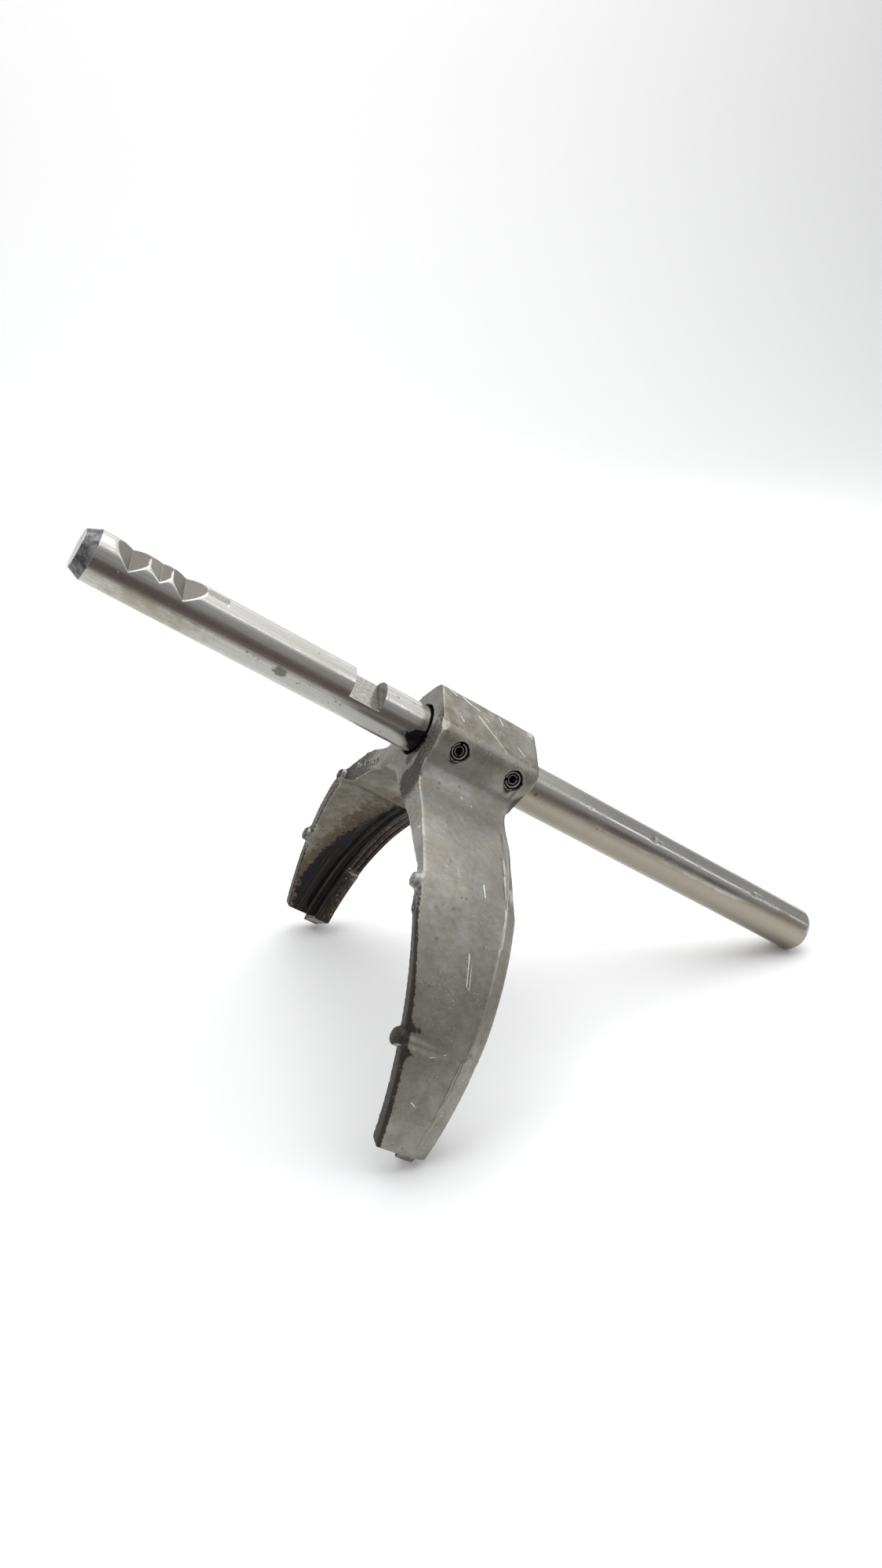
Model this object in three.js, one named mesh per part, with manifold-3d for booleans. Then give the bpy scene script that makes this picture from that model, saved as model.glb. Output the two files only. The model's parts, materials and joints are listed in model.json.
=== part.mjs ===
// Shift fork of a vehicle gearbox, pinned to its shift rail.
//
// Millimetres and degrees, +Z up. The assembly is drawn in the rail's own frame: the rail's axis is X,
// the fork's boss starts at x = 0, and the fork hangs down the Z axis with its near arm at -Y.
// Two nested groups then tip it to the way it stands by itself: on both fork tips and the rail's rear end.

import * as THREE from 'three';
import { mergeVertices } from 'three/addons/utils/BufferGeometryUtils.js';
import Module from 'manifold-3d';

const wasm = await Module();
wasm.setup();

// Shift rail
const railRadius = 8;
const railFront = -116.7;
const railRear = 173;
const frontChamfer = { length: 4.1, endRadius: 6 };
const rearRounding = 2.3;
const cutSide = 29;                       // turn of the notches and the slot from the top, towards the near arm
const detents = { first: -102.3, middle: -93.3, last: -85.3 };
const detentDepth = { outer: 4.4, middle: 5.6, ridge: 7.4 };   // heights above the rail's axis
const detentRidges = { front: -97.6, rear: -90.5 };
const detentWallRun = 1.72;               // run of an outer wall for each millimetre of height
const selectorSlot = { start: -28, end: -17.1, floor: 3 };
const shallowFlat = { end: -72.6, height: 7.7 };

// Spring pins, nested in pairs
const pinPlaces = [9, 30];
const outerPin = { radius: 3, wall: 0.85, slit: 1.1 };
const innerPin = { radius: 1.85, wall: 0.65, slit: 0.7 };
const pinReach = { near: -16.9, far: 12.4 };
const fitGap = 0.3;

// Fork
const boreRadius = railRadius + fitGap;
const arcDrop = 88;                       // centre of the outer arc, below the rail's axis
const outerRadius = 77;
const webInnerRadius = 72;
const grooveDrop = 83;                    // centre of the synchroniser groove that the tongue runs in
const tongueRadius = 65;
const padRadius = 64.2;
const padSpan = 19;
const crownTurn = 9;                      // the arc's crown is turned towards the near arm by this much
const webHalfAngle = 94.3;
const tongueHalfAngle = 96.5;
const webWidth = 33.2;
const tongueRear = 31;
const tongueThickness = 6;
const tongueOverlap = 2.5;                // how far the tongue's root runs into the web
const bossLength = 37.5;
const sideTaper = { slope: 0.28, start: 24 };   // how the arms' front side recedes below the crown
const lugs = { radius: 2.7, stand: 2.2, at: [-71.3, -41, 40, 71.3], ring: 74.2 };

const rad = THREE.MathUtils.degToRad;

// ---------- solids ----------

function solid(geometry) {
  let plain = geometry.clone();
  plain.deleteAttribute('normal');
  plain.deleteAttribute('uv');
  plain = mergeVertices(plain, 1e-4);
  return new wasm.Manifold(new wasm.Mesh({
    numProp: 3,
    vertProperties: new Float32Array(plain.attributes.position.array),
    triVerts: new Uint32Array(plain.index.array),
  }));
}

function geometryOf(manifold) {
  const mesh = manifold.getMesh();
  const geometry = new THREE.BufferGeometry();
  geometry.setAttribute('position', new THREE.BufferAttribute(mesh.vertProperties, 3));
  geometry.setIndex(new THREE.BufferAttribute(mesh.triVerts, 1));
  geometry.computeVertexNormals();
  return geometry;
}

// A shape drawn in the YZ plane, swept along X from one place to another.
function sweptAlongX(shape, from, to) {
  const geometry = new THREE.ExtrudeGeometry(shape, { depth: to - from, bevelEnabled: false, curveSegments: 24 });
  geometry.applyMatrix4(new THREE.Matrix4().makeBasis(
    new THREE.Vector3(0, 1, 0), new THREE.Vector3(0, 0, 1), new THREE.Vector3(1, 0, 0)));
  geometry.translate(from, 0, 0);
  return solid(geometry);
}

// A cylinder along X or Y.
function cylinder(axis, radius, from, to, [u, v], segments = 40) {
  const geometry = new THREE.CylinderGeometry(radius, radius, to - from, segments);
  geometry.translate(0, (from + to) / 2, 0);
  if (axis === 'x') geometry.rotateZ(-Math.PI / 2).translate(0, u, v);
  else geometry.translate(u, 0, v);
  return solid(geometry);
}

// A cutter drawn in x and height above the rail's axis, swept across the rail on its cut side.
function acrossRail(outline) {
  const shape = new THREE.Shape(outline.map(([x, height]) => new THREE.Vector2(x, height)));
  const geometry = new THREE.ExtrudeGeometry(shape, { depth: 4 * railRadius, bevelEnabled: false });
  geometry.translate(0, 0, -2 * railRadius);
  geometry.rotateX(rad(90 + cutSide));
  return solid(geometry);
}

// ---------- shift rail ----------

function railBlank() {
  const profile = [
    new THREE.Vector2(0, railFront),
    new THREE.Vector2(frontChamfer.endRadius, railFront),
    new THREE.Vector2(railRadius, railFront + frontChamfer.length),
  ];
  for (let step = 0; step <= 4; step += 1) {
    const turn = rad(step * 22.5);
    profile.push(new THREE.Vector2(
      railRadius - rearRounding * (1 - Math.cos(turn)),
      railRear - rearRounding * (1 - Math.sin(turn))));
  }
  profile.push(new THREE.Vector2(0, railRear));
  const geometry = new THREE.LatheGeometry(profile, 64);
  geometry.rotateZ(-Math.PI / 2);
  return solid(geometry);
}

function detentCutter() {
  const above = 2 * railRadius;
  const { first, middle, last } = detents;
  const clear = railRadius + 1;
  const start = first - detentWallRun * (clear - detentDepth.outer);
  return acrossRail([
    [start, above],
    [start, clear],
    [first, detentDepth.outer],
    [detentRidges.front, detentDepth.ridge],
    [middle, detentDepth.middle],
    [detentRidges.rear, detentDepth.ridge],
    [last, detentDepth.outer],
    [last + detentWallRun * (shallowFlat.height - detentDepth.outer), shallowFlat.height],
    [shallowFlat.end, shallowFlat.height],
    [shallowFlat.end, above],
  ]);
}

function slotCutter() {
  const above = 2 * railRadius;
  const { start, end, floor } = selectorSlot;
  return acrossRail([[start, above], [start, floor], [end, floor], [end, above]]);
}

function pinBore(place) {
  return cylinder('y', outerPin.radius + fitGap, -40, 40, [place, 0], 32);
}

function shiftRail() {
  let rail = railBlank().subtract(detentCutter()).subtract(slotCutter());
  for (const place of pinPlaces) rail = rail.subtract(pinBore(place));
  return geometryOf(rail);
}

// ---------- fork ----------

// A point on a circle about a centre below the rail, at a turn from the top towards the near arm.
function onArc(drop, radius, turn) {
  return new THREE.Vector2(-radius * Math.sin(rad(turn)), radius * Math.cos(rad(turn)) - drop);
}

function arc(drop, radius, from, to) {
  const steps = Math.max(1, Math.round(Math.abs(to - from) / 4));
  return Array.from({ length: steps + 1 }, (_, i) => onArc(drop, radius, from + (to - from) * i / steps));
}

const points = (pairs) => pairs.map(([y, z]) => new THREE.Vector2(y, z));

// Boss outline from its near waist, over the ridge, to its far waist.
const bossFront = points([[-15.8, -6.5], [-17.4, -2], [-18.2, 2], [-17.6, 4.6], [-15.2, 7], [-8, 11.7], [-1.6, 15.9]]);
const bossBack = points([[0.4, 16.4], [3.6, 14.8], [9.4, 10.2], [13, 4.5], [13.8, -2], [14.4, -7]]);

function webShape() {
  const near = crownTurn + webHalfAngle;
  const far = crownTurn - webHalfAngle;
  return new THREE.Shape([
    ...arc(arcDrop, outerRadius, near, 46),
    ...points([[-43.2, -26], [-33.6, -20.6], [-27.2, -17.2], [-21.2, -14], [-17.2, -10.4]]),
    ...bossFront,
    ...bossBack,
    ...points([[17.6, -10.2], [25.3, -12.6], [33, -16.2]]),
    ...arc(arcDrop, outerRadius, -32, far),
    ...arc(arcDrop, webInnerRadius, far, -36),
    ...points([[31.4, -26.4], [20.6, -19.6], [12.4, -16.8], [6, -13.4], [2, -14.4], [-9, -19], [-26, -24.6]]),
    ...arc(arcDrop, webInnerRadius, 42, near),
  ]);
}

function bossShape() {
  return new THREE.Shape([
    ...bossFront,
    ...bossBack,
    ...points([[12, -10.5], [4, -13], [-5, -13], [-12.5, -10.5]]),
  ]);
}

function tongueShape() {
  const near = crownTurn + tongueHalfAngle;
  const far = crownTurn - tongueHalfAngle;
  return new THREE.Shape([
    ...arc(arcDrop, outerRadius - tongueOverlap, near, far),
    ...arc(grooveDrop, padRadius, far, far + padSpan),
    ...arc(grooveDrop, tongueRadius, far + padSpan + 1, near - padSpan - 1),
    ...arc(grooveDrop, padRadius, near - padSpan, near),
  ]);
}

// Everything in front of the arms' receding side, as one wedge turned with the crown.
function sideCutter() {
  const reach = 120;
  const shape = new THREE.Shape(points([
    [-1, 0], [0, 0], [sideTaper.slope * reach, -reach], [-1, -reach],
  ]));
  const geometry = new THREE.ExtrudeGeometry(shape, { depth: 3 * reach, bevelEnabled: false });
  geometry.rotateX(Math.PI / 2);
  geometry.translate(0, 1.5 * reach, outerRadius - sideTaper.start);
  geometry.rotateX(rad(crownTurn));
  geometry.translate(0, 0, -arcDrop);
  return solid(geometry);
}

function sideAt(turn) {
  const drop = arcDrop - outerRadius * Math.cos(rad(turn));
  return Math.max(0, sideTaper.slope * (drop - sideTaper.start));
}

function lug(turn) {
  const side = sideAt(turn);
  const centre = onArc(arcDrop, lugs.ring, turn + crownTurn);
  return cylinder('x', lugs.radius, side - lugs.stand, side + 4, [centre.x, centre.y], 20);
}

function shiftFork() {
  let fork = sweptAlongX(webShape(), 0, webWidth).subtract(sideCutter());
  fork = fork.add(sweptAlongX(tongueShape(), tongueRear - tongueThickness, tongueRear));
  fork = fork.add(sweptAlongX(bossShape(), 0, bossLength));
  for (const turn of lugs.at) fork = fork.add(lug(turn));
  fork = fork.subtract(cylinder('x', boreRadius, -5, bossLength + 5, [0, 0], 64));
  for (const place of pinPlaces) fork = fork.subtract(pinBore(place));
  return geometryOf(fork);
}

// ---------- spring pins ----------

// A rolled strip: an open ring with a slit along its whole length.
function springPin({ radius, wall, slit }, place, slitSide) {
  const half = rad(90) - Math.acos(slit / 2 / radius);
  const ring = new THREE.Shape();
  ring.absarc(0, 0, radius, half, 2 * Math.PI - half, false);
  ring.absarc(0, 0, radius - wall, 2 * Math.PI - half, half, true);
  const length = pinReach.far - pinReach.near;
  const geometry = new THREE.ExtrudeGeometry(ring, { depth: length, bevelEnabled: false, curveSegments: 20 });
  geometry.rotateZ(rad(slitSide));
  geometry.rotateX(Math.PI / 2);
  geometry.translate(place, pinReach.far, 0);
  return geometry;
}

// ---------- assembly ----------

const finishes = {
  ground_steel: { color: 0xb9b6ab, roughness: 0.28, metalness: 1 },
  cast_aluminium: { color: 0x9a9a92, roughness: 0.55, metalness: 0.9 },
  spring_steel: { color: 0x55524c, roughness: 0.4, metalness: 1 },
  inner_spring_steel: { color: 0x6d6a63, roughness: 0.38, metalness: 1 },
};

function mesh(name, geometry, finish) {
  const made = new THREE.Mesh(geometry, new THREE.MeshStandardMaterial(finishes[finish]));
  made.name = name;
  return made;
}

const railFrame = new THREE.Group();
railFrame.add(mesh('shift_rail', shiftRail(), 'ground_steel'));
railFrame.add(mesh('shift_fork', shiftFork(), 'cast_aluminium'));
pinPlaces.forEach((place, i) => {
  const side = ['front', 'rear'][i];
  railFrame.add(mesh(`${side}_spring_pin`, springPin(outerPin, place, 60 + 150 * i), 'spring_steel'));
  railFrame.add(mesh(`${side}_inner_pin`, springPin(innerPin, place, 250 - 90 * i), 'inner_spring_steel'));
});

// The standing pose: the rail points down towards its rear end, and the fork leans over its longer near arm.
const railDip = 31.91;
const forkLean = -9;
railFrame.rotation.x = rad(forkLean);
const standing = new THREE.Group();
standing.add(railFrame);
standing.rotation.y = rad(railDip);

const group = new THREE.Group();
group.add(standing);
group.updateMatrixWorld(true);
const box = new THREE.Box3().setFromObject(group, true);
const centre = box.getCenter(new THREE.Vector3());
standing.position.set(-centre.x, -centre.y, -box.min.z);

export default group;
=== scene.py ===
"""Shift fork of a gearbox on its shift rail: the fine pieces, their finishes and a plain studio."""

import json
import math

import bmesh
import bpy
import numpy as np
from bpy.props import FloatProperty, FloatVectorProperty, IntProperty, PointerProperty
from mathutils import Matrix, Vector, noise


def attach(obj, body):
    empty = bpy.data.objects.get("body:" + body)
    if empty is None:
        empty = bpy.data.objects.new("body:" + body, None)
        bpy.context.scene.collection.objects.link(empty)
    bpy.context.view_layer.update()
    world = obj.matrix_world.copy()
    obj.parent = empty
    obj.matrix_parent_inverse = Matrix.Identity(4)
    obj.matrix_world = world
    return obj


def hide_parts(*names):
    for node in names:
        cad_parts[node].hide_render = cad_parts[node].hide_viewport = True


bl_info = {
    "name": "Shift Fork and Rail",
    "version": (1, 0, 0),
    "blender": (4, 5, 0),
    "location": "3D View > Sidebar > Shift Fork",
    "description": "Builds a gearbox shift fork pinned to its rail, with worn cast and ground finishes",
    "category": "Add Mesh",
}

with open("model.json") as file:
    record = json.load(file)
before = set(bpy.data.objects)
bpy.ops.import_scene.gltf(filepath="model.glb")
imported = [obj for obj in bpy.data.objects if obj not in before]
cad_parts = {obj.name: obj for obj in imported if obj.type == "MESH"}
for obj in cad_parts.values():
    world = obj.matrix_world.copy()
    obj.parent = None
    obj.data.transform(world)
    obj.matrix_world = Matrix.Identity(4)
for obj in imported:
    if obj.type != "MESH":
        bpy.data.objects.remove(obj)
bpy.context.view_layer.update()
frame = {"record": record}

MM = 0.001
BODY = "root"

# ---------- the rail frame ----------
# The pieces are drawn in the rail's own frame, in millimetres: X along the rail towards its rear end,
# Z up through the fork's ridge, the near arm at -Y, and x = 0 at the front face of the fork's boss.

RAIL_FRONT, RAIL_REAR = -116.7, 173.0
TONGUE_FACE = (31.0, -70.0, -90.0)


def rail_frame():
    """The matrix from the rail frame to the assembly's frame, found from the record's three mounts."""
    mounts = {m["name"]: Vector(m["pos_m"]) for m in frame["record"]["mounts"]}
    front, rear = mounts["rail_front_end"], mounts["rail_rear_end"]
    along = (rear - front).normalized()
    origin = rear - along * RAIL_REAR * MM
    out = mounts["tongue_rear_face"] - origin
    out -= along * out.dot(along)
    turned = along.cross(out)
    a, b = TONGUE_FACE[1] * MM, TONGUE_FACE[2] * MM
    across = (a * out - b * turned).normalized()
    up = along.cross(across).normalized()
    place = Matrix((along, across, up)).transposed().to_4x4()
    place.translation = origin
    return place


PLACE = rail_frame()

# ---------- sizes ----------

RAIL_RADIUS = 8.0
CHAMFER_LENGTH, CHAMFER_RADIUS, REAR_ROUND = 4.1, 6.0, 2.3
CUT_SIDE = 29.0                           # turn of the notches and the slot from the top, towards the near arm
UNCUT = 99.0                              # stands for no cut: farther out than the rail's surface
ARC_DROP, OUTER_RADIUS, WEB_INNER = 88.0, 77.0, 72.0
GROOVE_DROP, TONGUE_RADIUS, PAD_RADIUS, PAD_SPAN = 83.0, 65.0, 64.2, 19.0
CROWN_TURN = 9.0
# Ends of the arms and of the tongue, as turns from the top.
NEAR_END, FAR_END = 103.3, -85.3
TONGUE_NEAR, TONGUE_FAR = 105.5, -87.5
WEB_WIDTH, TONGUE_FRONT, TONGUE_REAR, BOSS_LENGTH = 33.2, 25.0, 31.0, 37.5
TONGUE_OVERLAP = 2.5
TAPER_SLOPE, TAPER_START = 0.28, 24.0
PIN_PLACES = (9.0, 30.0)
PIN_REACH = (-16.9, 12.4)

# Outlines of the fork's middle in (y, z): from the near arm's root over the ridge to the far arm's root,
# and back below.
NEAR_ROOT = [(-43.2, -26), (-33.6, -20.6), (-27.2, -17.2), (-21.2, -14), (-17.2, -10.4),
             (-15.8, -6.5), (-17.2, -2), (-17.9, 2), (-17.3, 4.8)]
FACET = [(-15.2, 7), (-8, 11.7), (-1.6, 15.9), (0.4, 16.4), (3.6, 14.8)]
FAR_ROOT = [(9.4, 10.2), (13, 4.5), (13.8, -2), (14.4, -7), (17.6, -10.2), (25.3, -12.6), (33, -16.2)]
INNER_ROOT = [(31.4, -26.4), (20.6, -19.6), (12.4, -16.8), (6, -13.8), (2, -14.6), (-9, -19), (-26, -24.6)]
BOSS_BOTTOM = [(12, -10.5), (4, -13), (-5, -13), (-12.5, -10.5)]
# The notches, as x and height above the rail's axis.
DETENTS = [(-109.4, 8.7), (-102.3, 4.4), (-97.6, 7.4), (-93.3, 5.6), (-90.5, 7.4), (-85.3, 4.4),
           (-79.6, 7.7), (-72.6, 7.7)]
SLOT_START, SLOT_END, SLOT_FLOOR = -28.0, -17.1, 3.0
# The mould's parting line on the arms' outside, as turn and x.
PARTING = [(10, 30.6), (22, 30.4), (42, 29.4), (58, 28.6), (76, 28.6), (79, 28.4), (80.5, 27.4), (105, 27.8)]


# ---------- settings ----------

def colour_setting(name, description, default):
    return FloatVectorProperty(name=name, description=description, subtype="COLOR", size=3,
                               min=0, max=1, default=default)


def length_setting(name, description, default, low=0.0, high=0.1):
    return FloatProperty(name=name, description=description, default=default, min=low, max=high, unit="LENGTH")


def power_setting(name, description, default):
    return FloatProperty(name=name, description=description, default=default, min=0, unit="POWER")


class RailSettings(bpy.types.PropertyGroup):
    """Shift rail."""
    steel: colour_setting("Steel", "Colour of the ground steel", (0.50, 0.495, 0.47))
    # This colour also darkens the rail towards its underside.
    film_and_shade: colour_setting("Oil film", "Colour of the dried oil film on the steel", (0.30, 0.27, 0.205))
    worn_edge: length_setting("Worn edge", "Softness of the machined edges", 0.00012, 0.0, 0.001)
    sides: IntProperty(name="Sides", description="Points round the rail", default=256, min=64, max=512)


class ForkSettings(bpy.types.PropertyGroup):
    """Cast fork."""
    metal: colour_setting("Metal", "Colour of the cast metal", (0.405, 0.40, 0.378))
    shade: colour_setting("Shaded metal", "Colour of the darker patches of casting skin", (0.292, 0.284, 0.256))
    # The stain colour also paints shade on the near arm's front faces, the strip behind the parting line and the arms'
    # inner faces.
    stain_and_shade: colour_setting("Stain", "Colour of the baked oil stains", (0.016, 0.0115, 0.008))
    grid: length_setting("Grid", "Spacing of the fork's surface grid", 0.0005, 0.0003, 0.002)
    softening: IntProperty(name="Softening", description="How far the cast corners are rounded",
                           default=5, min=0, max=20)


class PinSettings(bpy.types.PropertyGroup):
    """Nested spring pins."""
    outer_radius: length_setting("Outer radius", "Radius of the outer pin", 0.003)
    outer_wall: length_setting("Outer wall", "Strip thickness of the outer pin", 0.00085)
    inner_radius: length_setting("Inner radius", "Radius of the inner pin", 0.00185)
    inner_wall: length_setting("Inner wall", "Strip thickness of the inner pin", 0.00062)
    steel: colour_setting("Steel", "Colour of the oiled spring steel", (0.14, 0.13, 0.118))


class StageSettings(bpy.types.PropertyGroup):
    """Floor, lights and camera."""
    floor: colour_setting("Floor", "Colour of the floor and backdrop", (0.92, 0.92, 0.91))
    overhead: power_setting("Overhead light", "Power of the large soft light", 5.0)
    panel: power_setting("Side panel", "Power of the large panel beside the rail", 2.9)
    strip: power_setting("Strip light", "Power of the narrow light along the rail", 1.4)
    lens: FloatProperty(name="Lens", description="Focal length of the camera", default=51.2, subtype="DISTANCE_CAMERA")


class ShiftForkSettings(bpy.types.PropertyGroup):
    """All settings of the assembly."""
    rail: PointerProperty(type=RailSettings)
    fork: PointerProperty(type=ForkSettings)
    pins: PointerProperty(type=PinSettings)
    stage: PointerProperty(type=StageSettings)


# ---------- small helpers ----------

def onarc(drop, radius, turn):
    """A point (y, z) on a circle centred below the rail, at a turn from the top towards the near arm."""
    t = math.radians(turn)
    return (-radius * math.sin(t), radius * math.cos(t) - drop)


def arc(drop, radius, start, end, step=1.5):
    count = max(1, round(abs(end - start) / step))
    return [onarc(drop, radius, start + (end - start) * i / count) for i in range(count + 1)]


def rounded(points, steps=5):
    """The points with a smooth curve drawn through them."""
    out = []
    for i in range(len(points) - 1):
        p0 = Vector(points[max(i - 1, 0)])
        p1, p2 = Vector(points[i]), Vector(points[i + 1])
        p3 = Vector(points[min(i + 2, len(points) - 1)])
        for k in range(steps):
            t = k / steps
            q = 0.5 * (2 * p1 + (p2 - p0) * t + (2 * p0 - 5 * p1 + 4 * p2 - p3) * t * t
                       + (3 * p1 - p0 - 3 * p2 + p3) * t ** 3)
            out.append(tuple(q))
    out.append(tuple(points[-1]))
    return out


def side_at(y, z):
    """x of the arms' front side, which recedes below the crown."""
    t = math.radians(CROWN_TURN)
    depth = OUTER_RADIUS - (-y * math.sin(t) + (z + ARC_DROP) * math.cos(t))
    return max(0.0, TAPER_SLOPE * (depth - TAPER_START))


def smoothstep(low, high, value):
    t = np.clip((value - low) / (high - low), 0, 1)
    return t * t * (3 - 2 * t)


def bump(value, centre, width):
    """1 at the centre, falling to nothing over a width."""
    return np.exp(-((value - centre) / width) ** 2)


def new_piece(name, mesh):
    piece = bpy.data.objects.new(name, mesh)
    bpy.context.scene.collection.objects.link(piece)
    return piece


def finished(piece, material, slot, *nodes):
    """Notes where each point is in the rail frame, moves the mesh to its place, and ties the piece to the frame."""
    drawn = piece.data.attributes.new("drawn_place", "FLOAT_VECTOR", "POINT")
    drawn.data.foreach_set("vector", points_of(piece.data).astype(np.float32).ravel())
    piece.data.transform(PLACE @ Matrix.Scale(MM, 4))
    piece.data.materials.clear()
    piece.data.materials.append(material)
    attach(piece, BODY)
    if nodes:
        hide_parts(*nodes)
    return piece


def apply_modifiers(piece):
    graph = bpy.context.evaluated_depsgraph_get()
    mesh = bpy.data.meshes.new_from_object(piece.evaluated_get(graph))
    old = piece.data
    piece.modifiers.clear()
    piece.data = mesh
    bpy.data.meshes.remove(old)


def cut(piece, cutters):
    """Cuts the closed cutters out of the piece, one by one."""
    for mesh in cutters:
        tool = new_piece("cutter", mesh)
        step = piece.modifiers.new("cut", "BOOLEAN")
        step.operation, step.solver, step.object = "DIFFERENCE", "MANIFOLD", tool
        apply_modifiers(piece)
        bpy.data.objects.remove(tool)
        bpy.data.meshes.remove(mesh)
    if len(piece.data.polygons) < 100:
        raise RuntimeError(f"{piece.name} was lost in a cut")


def to_mesh(bm, name):
    bmesh.ops.recalc_face_normals(bm, faces=bm.faces[:])
    mesh = bpy.data.meshes.new(name)
    bm.to_mesh(mesh)
    bm.free()
    return mesh


def prism(bm, outline, start, end):
    """A closed prism along X over an outline in (y, z)."""
    low = [bm.verts.new((start, y, z)) for y, z in outline]
    high = [bm.verts.new((end, y, z)) for y, z in outline]
    caps = [bm.faces.new(low[::-1]), bm.faces.new(high)]
    for i in range(len(outline)):
        j = (i + 1) % len(outline)
        bm.faces.new((low[i], low[j], high[j], high[i]))
    bmesh.ops.triangulate(bm, faces=caps)


def loft(bm, stations):
    """A closed solid through rings of points, one ring after another."""
    rings = [[bm.verts.new(p) for p in ring] for ring in stations]
    for a, b in zip(rings, rings[1:]):
        for i in range(len(a)):
            j = (i + 1) % len(a)
            bm.faces.new((a[i], a[j], b[j], b[i]))
    caps = [bm.faces.new(rings[0][::-1]), bm.faces.new(rings[-1])]
    bmesh.ops.triangulate(bm, faces=caps)


def turned_ring(axis, centre, radius, place, sides=48):
    """A ring of points round X or Y, for loft."""
    ring = []
    for i in range(sides):
        t = 2 * math.pi * i / sides
        u, v = radius * math.cos(t), radius * math.sin(t)
        if axis == "x":
            ring.append((place, centre[0] + u, centre[1] + v))
        else:
            ring.append((centre[0] + u, place, centre[1] + v))
    return ring


def turned(axis, centre, profile, sides=48):
    """A closed turned solid: profile is (place along the axis, radius)."""
    bm = bmesh.new()
    loft(bm, [turned_ring(axis, centre, r, p, sides) for p, r in profile])
    return to_mesh(bm, "turned")


def store(mesh, name, values):
    layer = mesh.attributes.get(name) or mesh.attributes.new(name, "FLOAT", "POINT")
    layer.data.foreach_set("value", np.clip(values, 0, 1).astype(np.float32))


def points_of(mesh):
    co = np.zeros(len(mesh.vertices) * 3)
    mesh.vertices.foreach_get("co", co)
    return co.reshape(-1, 3)


def normals_of(mesh):
    n = np.zeros(len(mesh.vertices) * 3, np.float32)
    mesh.vertex_normals.foreach_get("vector", n)
    return n.reshape(-1, 3).astype(float)


def edges_of(mesh):
    e = np.zeros(len(mesh.edges) * 2, np.int32)
    mesh.edges.foreach_get("vertices", e)
    return e.reshape(-1, 2)


def neighbour_mean(values, edges, count):
    total = np.zeros((count,) + values.shape[1:])
    np.add.at(total, edges[:, 0], values[edges[:, 1]])
    np.add.at(total, edges[:, 1], values[edges[:, 0]])
    number = np.bincount(edges.ravel(), minlength=count).astype(float)
    return total / np.maximum(number, 1).reshape((-1,) + (1,) * (values.ndim - 1))


def curvature(mesh, rounds=2):
    """How far each point stands out of its neighbours: above 0 on outer edges, below 0 in corners."""
    co, edges = points_of(mesh), edges_of(mesh)
    wide = co
    for _ in range(3):
        wide = neighbour_mean(wide, edges, len(co))
    out = ((co - wide) * normals_of(mesh)).sum(1)
    for _ in range(rounds):
        out = neighbour_mean(out, edges, len(co))
    return out


def wave(points, size, seed):
    """Smooth noise from -1 to 1 at each point."""
    offset = Vector((seed * 17.3, seed * 5.1, seed * 9.7))
    return np.array([noise.noise(Vector(p) / size + offset) for p in points])


# ---------- shader helpers ----------

def add_node(tree, kind, inputs=None, **settings):
    """A node with its settings and inputs; an input is a value or another node's output."""
    node = tree.nodes.new("ShaderNode" + kind)
    for key, value in settings.items():
        setattr(node, key, value)
    for key, value in (inputs or {}).items():
        socket = node.inputs[key]
        if isinstance(value, bpy.types.NodeSocket):
            tree.links.new(value, socket)
        else:
            socket.default_value = value
    return node


def calc(tree, operation, a, b=0.0, clamp=False):
    return add_node(tree, "Math", {0: a, 1: b}, operation=operation, use_clamp=clamp).outputs[0]


def vector_calc(tree, operation, a, b=(0, 0, 0), out=0):
    return add_node(tree, "VectorMath", {0: a, 1: b}, operation=operation).outputs[out]


def between(tree, value, low, high, to_low=0.0, to_high=1.0):
    return add_node(tree, "MapRange", {0: value, 1: low, 2: high, 3: to_low, 4: to_high},
                    interpolation_type="SMOOTHSTEP").outputs[0]


def noise_of(tree, position, scale, detail=3.0, roughness=0.55, distortion=0.0):
    return add_node(tree, "TexNoise", {"Vector": position, "Scale": scale, "Detail": detail,
                                       "Roughness": roughness, "Distortion": distortion}).outputs["Fac"]


def blend_colour(tree, factor, a, b):
    node = add_node(tree, "Mix", data_type="RGBA")
    for index, value in ((0, factor), (6, a), (7, b)):
        if isinstance(value, bpy.types.NodeSocket):
            tree.links.new(value, node.inputs[index])
        elif index == 0:
            node.inputs[0].default_value = value
        else:
            node.inputs[index].default_value = (*value[:3], 1)
    return node.outputs[2]


def blend_value(tree, factor, a, b):
    node = add_node(tree, "Mix", {0: factor, 2: a, 3: b}, data_type="FLOAT")
    return node.outputs[0]


def group(name, inputs, outputs, build):
    """A shader node group; build(tree, inputs) returns its outputs by name."""
    tree = bpy.data.node_groups.new(name, "ShaderNodeTree")
    kinds = {"value": "NodeSocketFloat", "vector": "NodeSocketVector"}
    for label, kind, default in inputs:
        socket = tree.interface.new_socket(name=label, in_out="INPUT", socket_type=kinds[kind])
        socket.default_value = default
    for label, kind in outputs:
        tree.interface.new_socket(name=label, in_out="OUTPUT", socket_type=kinds[kind])
    entry, leave = tree.nodes.new("NodeGroupInput"), tree.nodes.new("NodeGroupOutput")
    for label, socket in build(tree, entry.outputs).items():
        tree.links.new(socket, leave.inputs[label])
    return tree


def use(tree, name, **inputs):
    node = tree.nodes.new("ShaderNodeGroup")
    node.node_tree = bpy.data.node_groups[name]
    for key, value in inputs.items():
        socket = node.inputs[key.replace("_", " ")]
        if isinstance(value, bpy.types.NodeSocket):
            tree.links.new(value, socket)
        else:
            socket.default_value = value
    return node.outputs


# ---------- shared effects ----------

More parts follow.
